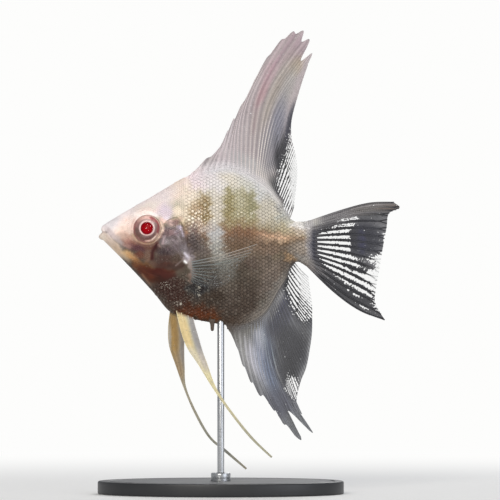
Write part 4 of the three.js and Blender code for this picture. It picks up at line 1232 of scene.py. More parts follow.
def build_scales(side, name, tree, seed, zone):
    """The scales of a zone of one side, each a plate over the skin that lies towards the tail."""
    step = 0.02  # for the slopes, in millimetres and in radians
    s, turn = scale_roots(side, ZONES[zone])
    at = body_surface(s, turn, COAT_DEPTH)
    rear = body_surface(s + step, turn, COAT_DEPTH) - at
    up = body_surface(s, turn + step, COAT_DEPTH) - at
    facing = np.cross(rear, up)
    facing /= np.linalg.norm(facing, axis=1, keepdims=True)
    facing *= np.where(facing[:, 1:2] * side < 0, -1, 1)
    station, level = at[:, 0], at[:, 2]
    away = away_from(NECK, station, level)
    on_head = inside(NECK, station, level)
    root = blot(station, level, (24.3, -9.7), (1.3, 3.3), 8, 0.1) > 0.5
    edge = np.minimum(BACK(station) - level, level - BELLY(station))
    rim = (edge < 1.2) & (station > 26) & (station < 54)
    if zone == "face":
        keep = on_head & (away > 0.25) & ~face_bare(station, level)
        size = 0.56 + 0.06 * smooth(away, 6, 0)
    elif zone == "margin":
        keep = rim
        size = np.full(len(s), 0.56)
    else:
        keep = ~(on_head | (away < 0.1) | root | rim) & (station < 56.2)
        size = 0.72 + 0.28 * smooth(edge, 0, 4) - 0.1 * smooth(station, 46, 54)
        size = size * (0.88 + 0.12 * smooth(away, 0, 1.5)) * (1 - 0.3 * smooth(station, 54, 56.2))
    out = (relief(station, level) * smooth(s, SKIN_END, SKIN_END - 3))[:, None]
    # The dark net between the plates grows towards the lower rear, and fades under the breast fin.
    net = smooth(-level + 0.35 * (station - 30), -1, 8) * smooth(station, 24, 31)
    net = 0.12 * smooth(station, 8, 18) if zone == "face" else 0.12 + 0.6 * net
    net = net * (1 - 0.6 * blot(station, level, (29.5, -10), (5.5, 4), 0, 0.4))
    layers = {"at": at + facing * out, "facing": facing, "lie": np.tile([1.0, 0, 0], (len(s), 1)),
        "spot": np.column_stack([skin_spots(s, even_turn(turn)), 0 * s]), "size": size, "net": net,
        "glitter": glitter(station, level)}
    layers = {layer: values[keep] for layer, values in layers.items()}
    set_scales(name, tree, seed, 0.35 if zone == "face" else 1, **layers)


def face_bare(s, h):
    """Where the head carries no scales: the jaws and snout, the eye, the gill edges and the throat."""
    eye = np.hypot(s - EYE_AT[0], h - EYE_AT[1]) < EYE_RADIUS + 1.1
    snout = s < 6.5 + 0.3 * np.maximum(h, 0)
    groove = away_from(PREOPERCLE, s, h) < 0.5
    edge = away_from(GILL_LINE, s, h) < 0.5
    throat = h < -7.6 + 0.25 * (s - 16)
    return eye | snout | throat | groove | edge


def build_sheath(fin, paint, name, tree, seed):
    """Small scales that climb from the body on to the root of a fin, on both its sides."""
    places = []
    for row in range(5):
        count = np.arange(0.2, 0.86 * fin["rays"][-1][1], 0.55) + 0.27 * (row % 2)
        u = ray_place(fin, count)
        places.append(np.stack([u, np.full(len(u), -0.4 + 0.55 * row)], -1))
    u, rise = np.concatenate(places).T
    v = np.linspace(0, 0.9, 271)
    grid_s, grid_h = fin_point(fin, np.repeat(u[:, None], len(v), 1), np.tile(v, (len(u), 1)))
    short = np.abs(clear_of_body(grid_s, grid_h) - rise[:, None])
    reach = np.minimum(np.argmin(short, axis=1), len(v) - 2)
    found = short[np.arange(len(u)), reach] < 0.2
    u, rise, reach, grid_s, grid_h = (a[found] for a in (u, rise, reach, grid_s, grid_h))
    index = np.arange(len(u))
    s, h = grid_s[index, reach], grid_h[index, reach]
    onward = np.stack([grid_s[index, reach + 1] - s, 0 * s, grid_h[index, reach + 1] - h], -1)
    lie = onward / np.linalg.norm(onward, axis=1, keepdims=True) + (0.7, 0, 0)
    at, facing = [], []
    for side in (-1, 1):
        y = fin_side(fin, s, h, u, v[reach]) + side * (fin_half(fin, s, h) - 0.02)
        at.append(np.stack([s, y, h], -1))
        facing.append(np.tile([0, side, 0], (len(s), 1)))
    spot = np.column_stack([skin_spots(s, 2 * np.pi * smooth(h, -24, 18)), 0 * s])
    colours, _ = fin_film(fin, paint, s, h, u, v[reach])
    two = (2, 1)
    set_scales(name, tree, seed, 1, np.concatenate(at), np.tile(linear(colours), two),
        facing=np.concatenate(facing), lie=np.tile(lie, two),
        spot=np.vstack([spot, spot * (1, 0.98, 0) + (0, 0.01, 0)]),
        size=np.tile(0.62 * (1 - 0.16 * (rise + 0.4)), 2), net=np.full(2 * len(s), 0.1),
        glitter=np.tile(0.5 * glitter(s, h), 2))


def even_turn(turn):
    """The even turn that the skin's own turns were wound from."""
    even = np.linspace(0, 2 * np.pi, 2000)
    return np.interp(turn, wound(even), even)


# Groups of painted glints on the scales: [station, level], [half length, half height].
PAINTED_GLINT_GROUPS = [[(17.4, -13.4), (1.6, 1)], [(25.9, -14.8), (0.8, 1.5)], [(24.2, -17.2), (0.8, 0.3)],
    [(20.6, -17.6), (1.6, 0.8)], [(26.4, 4.6), (2.8, 2.2)], [(37.6, 5.4), (3, 0.5)]]


def glitter(s, h):
    """How strongly the scales carry painted glints: more on the bars and in the gap, most in a few bright
    groups.
    """
    bars = 0.7 * blot(s, h, (26, 5.5), (4.4, 6), -15, 0.4) + 0.4 * blot(s, h, (37, 6.5), (5, 5), 4, 0.4)
    gap = 0.6 * blot(s, h, (30.6, -1), (3.2, 5.4), 6, 0.5)
    low = 0.12 * smooth(h, -4, -12)
    out = 0.1 + bars + gap + low * smooth(s, 34, 24)
    for at, radii in PAINTED_GLINT_GROUPS:
        out = out + 0.8 * blot(s, h, at, radii, 0, 0.4)
    return out

# ---- The fins ----
# Every fin's paint: "film" and "ray" are base colours, "marks" colour the film and "ray_marks" the
# rays. "clear" are outlines within which the film clears: each has its edge's softness, the share
# of pigment that stays between the rays, and the pleat, 1 on a ray and -1 in a gap, at which the
# pigment starts. "faint" are outlines within which the rays fade, with the share that stays.
# "solid" is the film's cover elsewhere, and "stripe" how much paler (or darker) it is along its rays.

DORSAL_PAINT = {
    "film": "#b7acaf",
    "marks": [
        [(49.2, 16.4), (2.6, 8.6), "#1c1c20", 1, 8, 0.5], [(30, 18), (7, 4), "#c2b4b9", 0.9, 45],
        [(28.2, 18.8), (2.6, 1.3), "#9f9698", 0.8, 38], [(36, 25), (3.6, 8), "#c8bec2", 0.9, -14],
        [(41, 37), (1.8, 8), "#b5a7ad", 0.8, -24, 0.7],
        [(42.6, 36.6), (1, 4), "#b8848f", 0.75, -23, 0.8],
        [(40.6, 29), (0.7, 3), "#b39a9c", 0.6, -12, 0.8],
        [(44.8, 42.4), (1.4, 4), "#b68c9a", 0.75, -27, 0.8],
        [(47, 45.6), (1.2, 2.4), "#b392a0", 0.6, -30, 0.8], [(50, 48.6), (4, 4.5), "#a7929a", 0.9, -20],
        [(46.2, 37), (1.6, 9), "#aba297", 0.85, -22, 0.7],
        [(51.3, 43.5), (1.4, 2.6), "#b3a188", 0.9, -25, 0.7],
        [(49.2, 38), (1.4, 6), "#a7a5a2", 0.8, -18, 0.7], [(44, 35), (6, 15), "#978d8b", 0.3, -24],
        [(50.2, 30.5), (0.9, 4), "#77757c", 0.6, -14],
        [(46.5, 28), (1.9, 7), "#80808e", 0.95, -10, 0.7], [(49.6, 28), (0.8, 5), "#3c3c49", 0.95, -12],
        [(43.5, 22), (1.8, 5), "#8a888f", 0.7, -6, 0.7], [(47, 19.5), (1.5, 5.4), "#33333b", 0.95, -22],
        [(46, 12.4), (1.3, 3.4), "#46464c", 0.9, 14], [(48.4, 6.6), (1, 2.4), "#5a5a5e", 0.8, 35],
        [(38.5, 18.6), (4.5, 1.8), "#c2c0c1", 0.8, -28],
        [(43.8, 14.6), (3.6, 1.5), "#b0b0ae", 0.8, -45], [(44.9, 17), (1.4, 2.4), "#7b7b80", 0.6, -20],
        [(24.6, 15.4), (3, 1.4), "#b8aab0", 0.7, 30],
    ],
    "ray": "#d6cdc9",
    "ray_marks": [
        [(31, 19.5), (8, 6), "#c5b8bb", 0.9, 42, 0.5], [(28.2, 18.8), (2.6, 1.3), "#a79d9f", 0.8, 38],
        [(38, 32), (2.4, 9), "#c9bcc0", 0.8, -24], [(43.4, 39), (1, 6.5), "#b98e9c", 0.5, -25, 0.7],
        [(46, 40), (3, 12), "#b9ada3", 0.9, -24], [(41, 30), (3, 10), "#a59a98", 0.4, -20],
        [(49, 46), (5, 8), "#b39ea3", 0.8, -20, 0.5], [(47.5, 30), (2.2, 8), "#8b8a92", 0.9, -10],
        [(45.5, 21), (2, 5), "#85838a", 0.8, -16], [(49.5, 18), (3.4, 10), "#141418", 1, 8, 0.3],
        [(48.6, 9.5), (2.6, 6), "#17171b", 1, 35, 0.4],
    ],
    "clear": [
        [[(49.9, 27), (49, 22.5), (47.4, 17.4), (46.5, 13.8), (46.4, 10.6), (47.6, 7.4), (49.4, 4.2),
            (52.6, 4.2), (53.4, 16), (51.6, 26)], 1.7, 0, -0.1],
        [[(51, 25), (49.7, 17.4), (48.9, 12), (49.6, 7), (53, 5.4), (53.8, 16)], 1.4, 0, 0.95],
    ],
    "faint": [
        [[(51.2, 24), (49.8, 18), (49.1, 12), (49.8, 7), (53, 5), (54, 16)], 1.2, 0.15],
    ],
    "solid": 0.97,
    "stripe": 0.09,
}
ANAL_PAINT = {
    "film": "#7f8084",
    "marks": [
        [(52, -15), (3.6, 9), "#242428", 1, 18, 0.4], [(48, -18.4), (1.2, 3.4), "#3c3c4c", 0.8, -30],
        [(36, -25.6), (3.2, 4), "#5f5d59", 0.9, 20], [(38.3, -31), (2, 6), "#a5a4a4", 0.8, 18, 0.7],
        [(40.8, -33), (1.6, 5), "#c0bfca", 0.8, 22], [(42, -26.6), (1.5, 3.4), "#b2b3bc", 0.85, 10],
        [(43, -35), (1.4, 6), "#8d94a6", 0.85, 18, 0.7],
        [(44.9, -37), (1.2, 6.6), "#6f788c", 0.85, 18, 0.7],
        [(44.6, -28.5), (1.5, 5), "#7f8893", 0.85, 12, 0.7],
        [(47.4, -23), (2, 4.6), "#4e5060", 0.85, -22], [(53.6, -26.6), (1.6, 3.6), "#5f5f60", 0.8],
        [(50, -29), (4, 6.6), "#454548", 0.95, 26, 0.5], [(49.6, -36), (2.4, 6), "#434345", 0.9, 10],
        [(54.7, -31), (0.5, 4), "#8d8d8f", 0.8, -6, 0.7],
        [(53, -36.6), (0.6, 3.4), "#8d8d8f", 0.8, -22, 0.7], [(47, -44), (3.4, 4), "#5c5d68", 0.85, 40],
        [(52, -50), (3.6, 2.6), "#77797c", 0.8, -40], [(41, -23.4), (3.4, 1.5), "#7c7a73", 0.85, 28],
        [(45.2, -19), (1.6, 3.6), "#8b8a88", 0.85, -28], [(48.6, -20.6), (1.4, 3), "#54545a", 0.7, -24],
    ],
    "ray": "#a2a2a4",
    "ray_marks": [
        [(37, -27), (4, 7), "#9c9a96", 0.8, 20], [(36.2, -25.2), (2.6, 3.2), "#67655f", 0.9, 20],
        [(44.8, -34), (2.8, 12), "#595f70", 0.9, 16], [(41, -33.4), (1.5, 5.4), "#b5b5be", 0.9, 22],
        [(42, -30.4), (1.1, 2.6), "#b9bbcb", 0.7, 14], [(37.9, -28), (1.2, 2.2), "#7d7b79", 0.6, 20],
        [(46.4, -34), (1, 3.4), "#4c4e53", 0.6, 16], [(42.2, -26.6), (1.4, 3), "#a4a8b2", 0.8, 10],
        [(47.4, -35.4), (1.3, 5), "#434347", 0.9, 14], [(47, -22), (2.4, 4.6), "#30303c", 0.95, -22],
        [(50.4, -28), (4.4, 10), "#4c4c50", 0.95, 24, 0.5],
        [(50.5, -38), (3, 8), "#4b4b50", 0.8, 10, 0.5],
        [(52.4, -14.6), (4, 9.4), "#17171b", 1, 18, 0.3], [(51, -49), (5, 4), "#85878a", 0.7, -40],
    ],
    "clear": [
        [[(50.2, -6.6), (49.3, -10), (48.6, -13.4), (49.2, -16.4), (50.4, -19.2), (52.2, -22), (54, -23.2),
            (56.5, -21.8), (57, -12), (53, -6.6)], 1.5, 0, -0.1],
        [[(51, -6.6), (50.8, -11), (51.6, -14.2), (53.8, -18), (56.8, -18.8), (57, -12), (53, -6.6)],
            1.3, 0, 0.8],
        [[(48.5, -38.6), (49.6, -36.6), (52, -38), (52, -41), (51.2, -43.6), (49.6, -42.3),
            (48.2, -39.9)], 0.9, 0, 0.15],
    ],
    "faint": [
        [[(51.2, -6), (51, -11), (52.6, -15.6), (54.4, -18.8), (57, -19.4), (57, -6)], 1.2, 0.2],
    ],
    "solid": 0.97,
    "stripe": -0.16,
}
TAIL_PAINT = {
    "film": "#6f6e71",
    "marks": [
        [(58, 2.4), (4.6, 2.2), "#9f9c9a", 0.9, 12], [(63, 4.6), (6, 1.8), "#a3a0a1", 0.85, 16],
        [(71, 6.8), (6, 1.6), "#878281", 0.9, 10], [(75.5, 6.8), (3.6, 0.8), "#6b5f58", 0.8, 8],
        [(71, 4.6), (4.6, 1.2), "#555558", 0.85, 8], [(69, -1.4), (4.6, 4.4), "#38383f", 1, 10, 0.4],
        [(68.4, -1.8), (1.1, 3), "#3b3b52", 0.9, 5], [(62, -1), (5.6, 4.4), "#3a393d", 0.95, 0, 0.4],
        [(64, -8), (9, 3.4), "#38373b", 0.95, -30, 0.4], [(66, -15), (9, 3), "#3c3c40", 0.95, -33, 0.5],
        [(60.4, -10.6), (3.4, 1.1), "#4f4e52", 0.8, -40],
        [(56.9, -3.4), (1.1, 4.3), "#3a3a46", 0.9, 0, 0.5],
        [(56.6, -9.2), (1.5, 1), "#a8a6a7", 0.8, -40], [(56.6, 2.5), (1.6, 0.8), "#b9b7b7", 0.8, 10],
        [(58, -9.6), (2.4, 0.8), "#807d7e", 0.7, -42], [(72.5, -20), (3.4, 1.8), "#505053", 0.7, -30],
    ],
    "ray": "#1e1d22",
    "ray_marks": [
        [(70, -1.4), (4.6, 5), "#33333b", 0.9, 0, 0.4], [(62, 4.4), (7, 1.7), "#8a8788", 0.85, 16],
        [(56.8, -9.2), (1.5, 1), "#8f8d8e", 0.8, -40], [(56.8, 2.5), (1.6, 0.8), "#a5a3a3", 0.8, 10],
        [(71, 6.6), (5, 1.6), "#7b7774", 0.85, 10], [(64, -15), (9, 2.4), "#2c2c30", 0.7, -32, 0.5],
    ],
    "clear": [
        [[(60.4, 1.6), (62, 3.2), (64, 4.4), (67.6, 4.7), (67.6, 2.4), (64, 2.1), (61, 1.1)],
            0.5, 0.4, -0.1],
        [[(57, -0.4), (58.4, 0.6), (61.4, 1.4), (64, 2.2), (66.4, 2.4), (66.2, 1.6), (65.2, 0.4),
            (65.6, -1.4), (65.6, -5.6), (68.4, -6.8), (72.5, -5.8), (76, -4.6), (76, -14), (73, -16),
            (70.4, -16.4), (66, -13.7), (62, -11.2), (58.8, -8), (57.2, -6), (56.6, -3.6),
            (56.6, -2)], 0.5, 0, -0.4],
        [[(67, -7.6), (69, -6.8), (76, -4.4), (76, -16), (71.6, -15.6), (69.2, -11.6)], 1.8, 0, 0.9],
        [[(66.6, -6.9), (68.8, -6.4), (71.8, -7.4), (72.2, -9.2), (69, -9.4)], 0.6, 0.75, 0],
        [[(63.6, -7.5), (66.4, -8.3), (69.6, -9.5), (69.4, -10.4), (66, -9.5), (63.6, -8.4)], 0.3, 0.85, 0],
        [[(74.1, 0.2), (76, 0.8), (76, -2), (74, -1.8)], 0.4, 0.1, 0.9],
        [[(70.6, -16.6), (72.6, -17.4), (73.4, -20.4), (71.8, -19.6)], 0.7, 0.35, 0.9],
        [[(64.4, -14), (68.8, -16), (68.8, -17), (64.6, -14.9)], 0.25, 0, 0.2],
        [[(67.8, -18), (70.4, -19.2), (70.2, -20.1), (68, -18.8)], 0.25, 0, 0.2],
    ],
    "faint": [
        [[(69, -7), (71, -5.8), (77, -4.4), (77, -16), (72, -15), (70.4, -12)], 1.8, 0.15],
    ],
    "solid": 0.95,
    "stripe": -0.06,
    "taper": 0.4,  # how much thinner the rays are at their tips
    "swell": 0.45,  # how much thicker they are at their roots
}
PECTORAL_PAINT = {
    "film": "#a9b0b2",
    "marks": [[(27, -10), (3, 3), "#8e8a88", 0.8, 0, 0.7]],
    "ray": "#a4aeac",
    "ray_marks": [
        [(27, -9.5), (3, 3.6), "#959a9b", 0.8], [(35, -5), (7, 1.1), "#d8c8ba", 0.9, 17],
        [(30, -12), (5, 1.6), "#a3b2af", 0.7, -12],
    ],
    "solid": 0,
    "jointed": 0,  # too fine for its joints to show
    "faint": [
        [[(24, -11.6), (28, -12), (35, -12.6), (35, -16), (24, -15)], 0.8, 0.3],
    ],
    "ray_veil": [0.6, 0.05, 0.95],  # how much of the rays shows at the root and the tip, and in front
    "stripe": 0,
}
PELVIC_LEFT_PAINT = {
    "film": "#ddd4b0",
    "marks": [
        # The grey band at station 25.5, along the fin's hind edge, is a painted shadow.
        [(29, -38), (3, 6), "#efe4b4", 0.9, 33], [(25.5, -26.4), (1.2, 7), "#a3a09f", 0.95, 16, 0.4],
        [(22.2, -25), (1.4, 7), "#eed59c", 1, 17, 0.4],
        [(25.4, -32.6), (1.1, 4), "#eadfc0", 0.95, 32, 0.5],
        [(27.6, -33), (0.9, 3), "#d6ccc2", 0.8, 26], [(42, -55), (8, 5), "#c3c0a8", 0.85, -45],
    ],
    "ray": "#e8dcb2",
    "ray_marks": [
        # The grey band at station 25.4 paints the same shadow on the rays.
        [(25.4, -26), (1.2, 7), "#b3adab", 0.9, 16, 0.4], [(29, -38), (2.4, 5), "#ecdca2", 0.9, 33],
        [(35, -47), (5, 6), "#e4dcb2", 0.8, -50], [(42, -55), (7, 5), "#c3c0a8", 0.9, -45],
    ],
    "solid": 0.97,
    "stripe": 0.03,
}
PELVIC_RIGHT_PAINT = {
    "film": "#aca28c",
    "marks": [
        [(21.7, -28), (1.1, 7), "#98918c", 0.9, 0, 0.5],
        [(19.6, -26), (1.2, 7), "#b18d50", 0.95, 3, 0.5], [(20.9, -35), (1, 4), "#a99170", 0.9, 10],
        [(18.4, -27), (0.5, 4), "#c3beb6", 0.8], [(23.4, -44), (2, 6), "#b2ab97", 0.9, 20],
        [(31, -55), (9, 6), "#aeada0", 0.9, -45],
    ],
    "ray": "#b2945c",
    "ray_marks": [
        [(21.8, -28), (0.9, 7), "#a09a94", 0.8, 0, 0.5], [(23, -42), (3, 6), "#beb69f", 0.85, 14],
        [(31, -55), (9, 6), "#9f9e90", 0.9, -45],
    ],
    "solid": 0.97,
    "stripe": 0.06,
}


def pleats(fin, u, v):
    """1 along the rays of a fin and -1 between them; past the forks there are twice as many."""
    count = ray_count(fin, u)
    fork = fin.get("fork", 2)
    forked = smooth(v, fork, fork + 0.22) * (count > fin["spines"])
    return (1 - forked) * np.cos(2 * np.pi * count) - forked * np.cos(4 * np.pi * count)


def fin_film(fin, paint, s, h, u, v):
    """The colour and cover of a fin's film. A median fin takes the body's own colour at its root."""
    phase = pleats(fin, u, v)
    film = spread(np.broadcast_to(srgb(paint["film"]), (*s.shape, 3)), s, h, paint["marks"])
    film = film * (0.93 + paint["stripe"] * phase * smooth(v, 0.04, 0.25))[..., None]
    cover = np.full(s.shape, paint["solid"])
    for outline, softness, share, beside in paint.get("clear", []):
        # Pigment lies along the rays, and the film between two of them is clear.
        between = share + (1 - share) * smooth(phase, beside, beside + 0.6)
        cover = cover + (between - cover) * patch(outline, *stray(s, h, 0.3), softness)
    if "sway" in fin:
        opened = 1 - cover / paint["solid"]
        rooted = smooth(clear_of_body(s, h), 3 - 2 * opened, -0.5)
        film = blend(film, body_marking(s, h), rooted * 0.8)
        cover = np.maximum(cover, smooth(clear_of_body(s, h), 0.6, 0))
    else:
        film = blend(film, body_marking(s, h), 0.8 * smooth(v, 0.05, 0))
    return np.clip(film, 0, 1), cover


def build_film(name, fin, paint, mirror, per_gap, rows):
    """A fin's film: a closed sheet, thick at its root, that sinks a little between its rays."""
    gaps = int(fin["rays"][-1][1])
    u = ray_place(fin, np.linspace(0, gaps, gaps * per_gap + 1))
    v = np.linspace(0, 1, rows + 1)
    u, v = np.meshgrid(u, v, indexing="ij")
    s, h = fin_point(fin, u, v)
    y = mirror * fin_side(fin, s, h, u, v)
    half = fin_half(fin, s, h)
    half = half * (1 + 0.4 * pleats(fin, u, v) * smooth(v, 0.03, 0.12))
    faces = grid_faces(*s.shape)
    count = s.size
    faces += [[a + count, b + count, c + count, d + count] for d, c, b, a in faces]
    index = np.arange(count).reshape(s.shape)
    border = np.concatenate([index[:-1, 0], index[-1, :-1], index[:0:-1, -1], index[0, :0:-1]])
    following = np.roll(border, -1)
    faces += [[a, b, b + count, a + count] for a, b in zip(border.tolist(), following.tolist())]
    sheets = [np.stack([s, y + sign * half, h], -1).reshape(-1, 3) for sign in (-1, 1)]
    piece = mesh_piece(name, place(np.concatenate(sheets)), faces)
    film, cover = fin_film(fin, paint, s, h, u, v)
    give_colours(piece, np.tile(linear(film).reshape(-1, 3), (2, 1)))
    give(piece, "veil", np.tile(cover.ravel(), 2))
    spots = np.stack([u.ravel() * 0.46 + 0.02, v.ravel() * 0.96 + 0.02], -1)
    give_map(piece, np.vstack([spots, spots + (0.5, 0)]))
    return piece


def fork_lines(fin, depth):
    """Every ray of a fin as [place by count, v, fork level]; soft rays fork towards the margin."""
    gaps = int(fin["rays"][-1][1])
    fork = fin.get("fork", 2)
    lines = []

    def grow_ray(place_on, start, level):
        if level == depth:
            stop = 1.0
        else:
            stop = fork + (1 - fork) * 0.5 * level
        v = np.linspace(start, stop, max(5, int(50 * (stop - start)) + 1))
        lines.append([place_on(v), v, level])
        if level < depth:
            reach = 0.25 / 2**level
            for way in (-1, 1):
                grow_ray(lambda v, way=way, stop=stop: np.clip(place_on(v)
                    + way * reach * smooth(v, stop, stop + 0.22), 0, gaps), stop, level + 1)

    for ray in range(gaps + 1):
        soft = fin["spines"] <= ray
        if soft:
            grow_ray(lambda v, ray=ray: np.full(np.shape(v), float(ray)), 0.0, 0)
        else:
            v = np.linspace(0, 1, 40)
            lines.append([np.full(40, float(ray)), v, 0])
    return lines


def ray_tree(material, sides):
    """Turns lines of points into round rays, as thick as "girth" says."""
    tree, start, end = geometry_tree("fin rays", {"Girth": 1.0, "Sides": sides})
    line = put(tree, "GeometryNodeMeshToCurve", {0: start.outputs["Geometry"]})
    scale = reckon(tree, "MULTIPLY", named(tree, "girth", "FLOAT"), start.outputs["Girth"])
    ring = put(tree, "GeometryNodeCurvePrimitiveCircle", {0: start.outputs["Sides"], 4: MM},
        mode="RADIUS")
    tube = put(tree, "GeometryNodeCurveToMesh", {0: line.outputs[0], 1: ring.outputs[0], 2: scale,
        3: True})
    round_shade = put(tree, "GeometryNodeSetShadeSmooth", {0: tube.outputs[0]})
    real = put(tree, "GeometryNodeRealizeInstances", {0: round_shade.outputs[0]})
    return finish_tree(tree, end, real.outputs[0], material)


def build_rays(name, fin, paint, mirror, material, thick, depth):
    """A fin's rays: spines and forking soft rays that stand a little out of the film."""
    points, edges, marks, girths, runs, veils = [], [], [], [], [], []
    near, far, first = paint.get("ray_veil", [1, 1, 1])
    for place_on, v, level in fork_lines(fin, depth):
        u = ray_place(fin, place_on)
        s, h = fin_point(fin, u, v)
        y = mirror * fin_side(fin, s, h, u, v)
        start = len(points)
        points += np.stack([s, y, h], -1).tolist()
        edges += [(start + k, start + k + 1) for k in range(len(v) - 1)]
        steps = np.hypot(np.diff(s), np.diff(h))
        jointed = paint.get("jointed", 1)
        runs += (jointed * (running(steps) + v[0] * 30)).tolist()
        colours = spread(np.broadcast_to(srgb(paint["ray"]), (len(s), 3)), s, h, paint["ray_marks"])
        if "sway" in fin:
            rooted = smooth(clear_of_body(s, h), 3, -0.5) * 0.8
            colours = blend(colours, body_marking(s, h), rooted)
        marks += colours.tolist()
        taper = (1 - paint.get("taper", 0.62) * v) * (1 + paint.get("swell", 0) * smooth(v, 0.35, 0))
        girths += (thick * taper * (0.78**level)).tolist()
        veil = near + (far - near) * smooth(v, 0.05, 0.8)
        veil = veil + (first - veil) * smooth(u, 0.3, 0.18)
        for outline, softness, share in paint.get("faint", []):
            veil = veil * (1 - (1 - share) * patch(outline, *stray(s, h, 0.4), softness))
        veils += veil.tolist()
    piece = mesh_piece(name, place(points), [], edges)
    give_colours(piece, linear(marks))
    give(piece, "girth", girths)
    give(piece, "run", runs)
    give(piece, "veil", veils)
    grow(piece, ray_tree(material, 6), {"Girth": 1.0, "Sides": 6}, drop=("girth",))
    return piece


# ---- The eyes ----

PUPIL_RADIUS = 1.57
PUPIL_AT = (-0.09, 0.2)  # from the eye's centre
IRIS_RING = 2.13  # from the pupil's centre to where the iris's outer ring begins


def eye_plane(side):
    """The level of the skin round one eye: y at the eye's centre, and its slopes by s and h."""
    turn = np.linspace(0, 2 * np.pi, 49)[:-1]
    radius = EYE_RADIUS + 0.3
    s, h = EYE_AT[0] + radius * np.cos(turn), EYE_AT[1] + radius * np.sin(turn)
    middle = WIDEST_LEVEL(s)
    rise = np.abs(h - middle) / np.where(h > middle, BACK(s) - middle, middle - BELLY(s))
    y = side * HALF_WIDTH(s) * (1 - rise**2) ** np.where(h > middle, BACK_KEEL(s), BELLY_KEEL(s))
    return y.mean(), 2 * (y * np.cos(turn)).mean() / radius, 2 * (y * np.sin(turn)).mean() / radius


def off_pupil(x, z):
    """How far each place lies from the pupil's centre."""
    return np.hypot(x - PUPIL_AT[0], z - PUPIL_AT[1])


def eye_disc(name, side, radius, height, rings, around=112, middle=(0, 0)):
    """A round dome over the eye's plane, closed at its back; "height" is its rise at each place.

    Gives the piece, and the places of its points from the eye's centre.
    """
    base, by_s, by_h = eye_plane(side)
    turn = np.arange(around) * 2 * np.pi / around
    r = np.linspace(0, radius, rings + 1)[1:]
    r, turn = np.meshgrid(r, turn, indexing="ij")
    x = np.append((middle[0] + r * np.cos(turn)).ravel(), [middle[0]] * 2)
    z = np.append((middle[1] + r * np.sin(turn)).ravel(), [middle[1]] * 2)
    y = base + by_s * x + by_h * z + side * height(x, z)
    y[-1] = y[-3] - side * 0.9
    points = place(np.stack([EYE_AT[0] + x, y, EYE_AT[1] + z], -1))
    return mesh_piece(name, points, tube_faces(rings, around)), x, z


IRIS_MARKS = [  # on the outer ring, by place from the eye's centre in millimetres
    [(0, 3.1), (2.6, 1), "#ecc2b8", 0.95], [(-1.9, 2.5), (1.2, 0.8), "#cfa498", 0.8, 40],
    [(-2.9, 1.1), (0.8, 1.3), "#9f6f6c", 0.8, -20], [(-3.5, 0.4), (0.25, 1.5), "#b0605e", 0.7],
    [(-2.9, -0.9), (0.7, 1.4), "#6a4e48", 0.85, 20], [(-1.6, -2.4), (1.5, 0.7), "#6e493f", 0.9, -40],
    [(0.3, -2.6), (1.3, 0.6), "#5e3832", 0.9], [(1.6, -2.1), (0.9, 0.6), "#613b38", 0.9, 35],
    [(2.8, -0.3), (0.4, 1.3), "#7a5854", 0.9], [(2.15, 2.15), (0.45, 1.5), "#96464a", 0.95, 42, 0.5],
    [(1.1, 2.8), (0.6, 0.4), "#c27274", 0.8, -25], [(1.4, 2.4), (0.6, 0.3), "#8e3f3e", 0.8, -35],
]
IRIS_STROKES = [
    [[(1, 3.05), (2, 2.45), (2.85, 1.5), (2.95, 0.5), (2.65, -0.8)], 0.3, "#8a3f42", 0.85],
    [[(2.6, -1.35), (2.1, -2.1), (1.3, -2.8), (0.5, -3.1), (-0.4, -3.15)], 0.3, "#d6b29f", 0.9],
    # The next two strokes, the thin near-white lines on the pale crescent below and behind the pupil, are
    # painted highlights.
    [[(2.1, -1.9), (1.7, -2.35), (1.2, -2.7)], 0.13, "#f6e4d6", 0.9],
    [[(0.5, -3.05), (-0.1, -3.1)], 0.15, "#f3c4b4", 0.8],
]


def iris_marking(x, z):
    """The sRGB colour of the iris at each place from the eye's centre, as seen from its own side."""
    radius = off_pupil(x, z)
    ring = np.broadcast_to(srgb("#876a66"), (*x.shape, 3))
    ring = draw(spread(ring, *stray(x, z, 0.25), IRIS_MARKS), x, z, IRIS_STROKES)
    lid = np.hypot(x - LID_AT[0], z - LID_AT[1])
    behind = smooth(x + 0.3 * z, 0.2, 2.2)
    ring = wash(ring, (0.9 - 0.6 * smooth(z, 1, 2.6)) * smooth(lid, 3.3, 3.55), "#a8846b")
    ring = wash(ring, 0.85 * behind * smooth(lid, 3.2, 3.45), "#dcc0af")
    ring = wash(ring, 0.6 * smooth(lid, 3.0, 3.4) * smooth(x + 0.6 * z, -1.4, -2.8), "#a06562")
    ring = wash(ring, 0.5 * bell(radius - IRIS_RING - 0.2, 0.14), "#7b5c5c")
    inner = np.broadcast_to(srgb("#e4c8c3"), (*x.shape, 3))
    # The pale inner ring is painted darker on its lower right, a painted shade, and darker at the bottom.
    inner = wash(inner, 0.6 * smooth(x - 0.8 * z, 0.4, 2.6), "#c9b2ae")
    inner = wash(inner, 0.6 * smooth(-z, 1, 2), "#94695f")
    inner = wash(inner, 0.6 * bell(radius - PUPIL_RADIUS - 0.04, 0.12), "#e38f92")
    outward = off_pupil(x - 0.04, z - 0.1) - IRIS_RING
    return blend(inner, ring, smooth(outward, -0.14, 0.12))


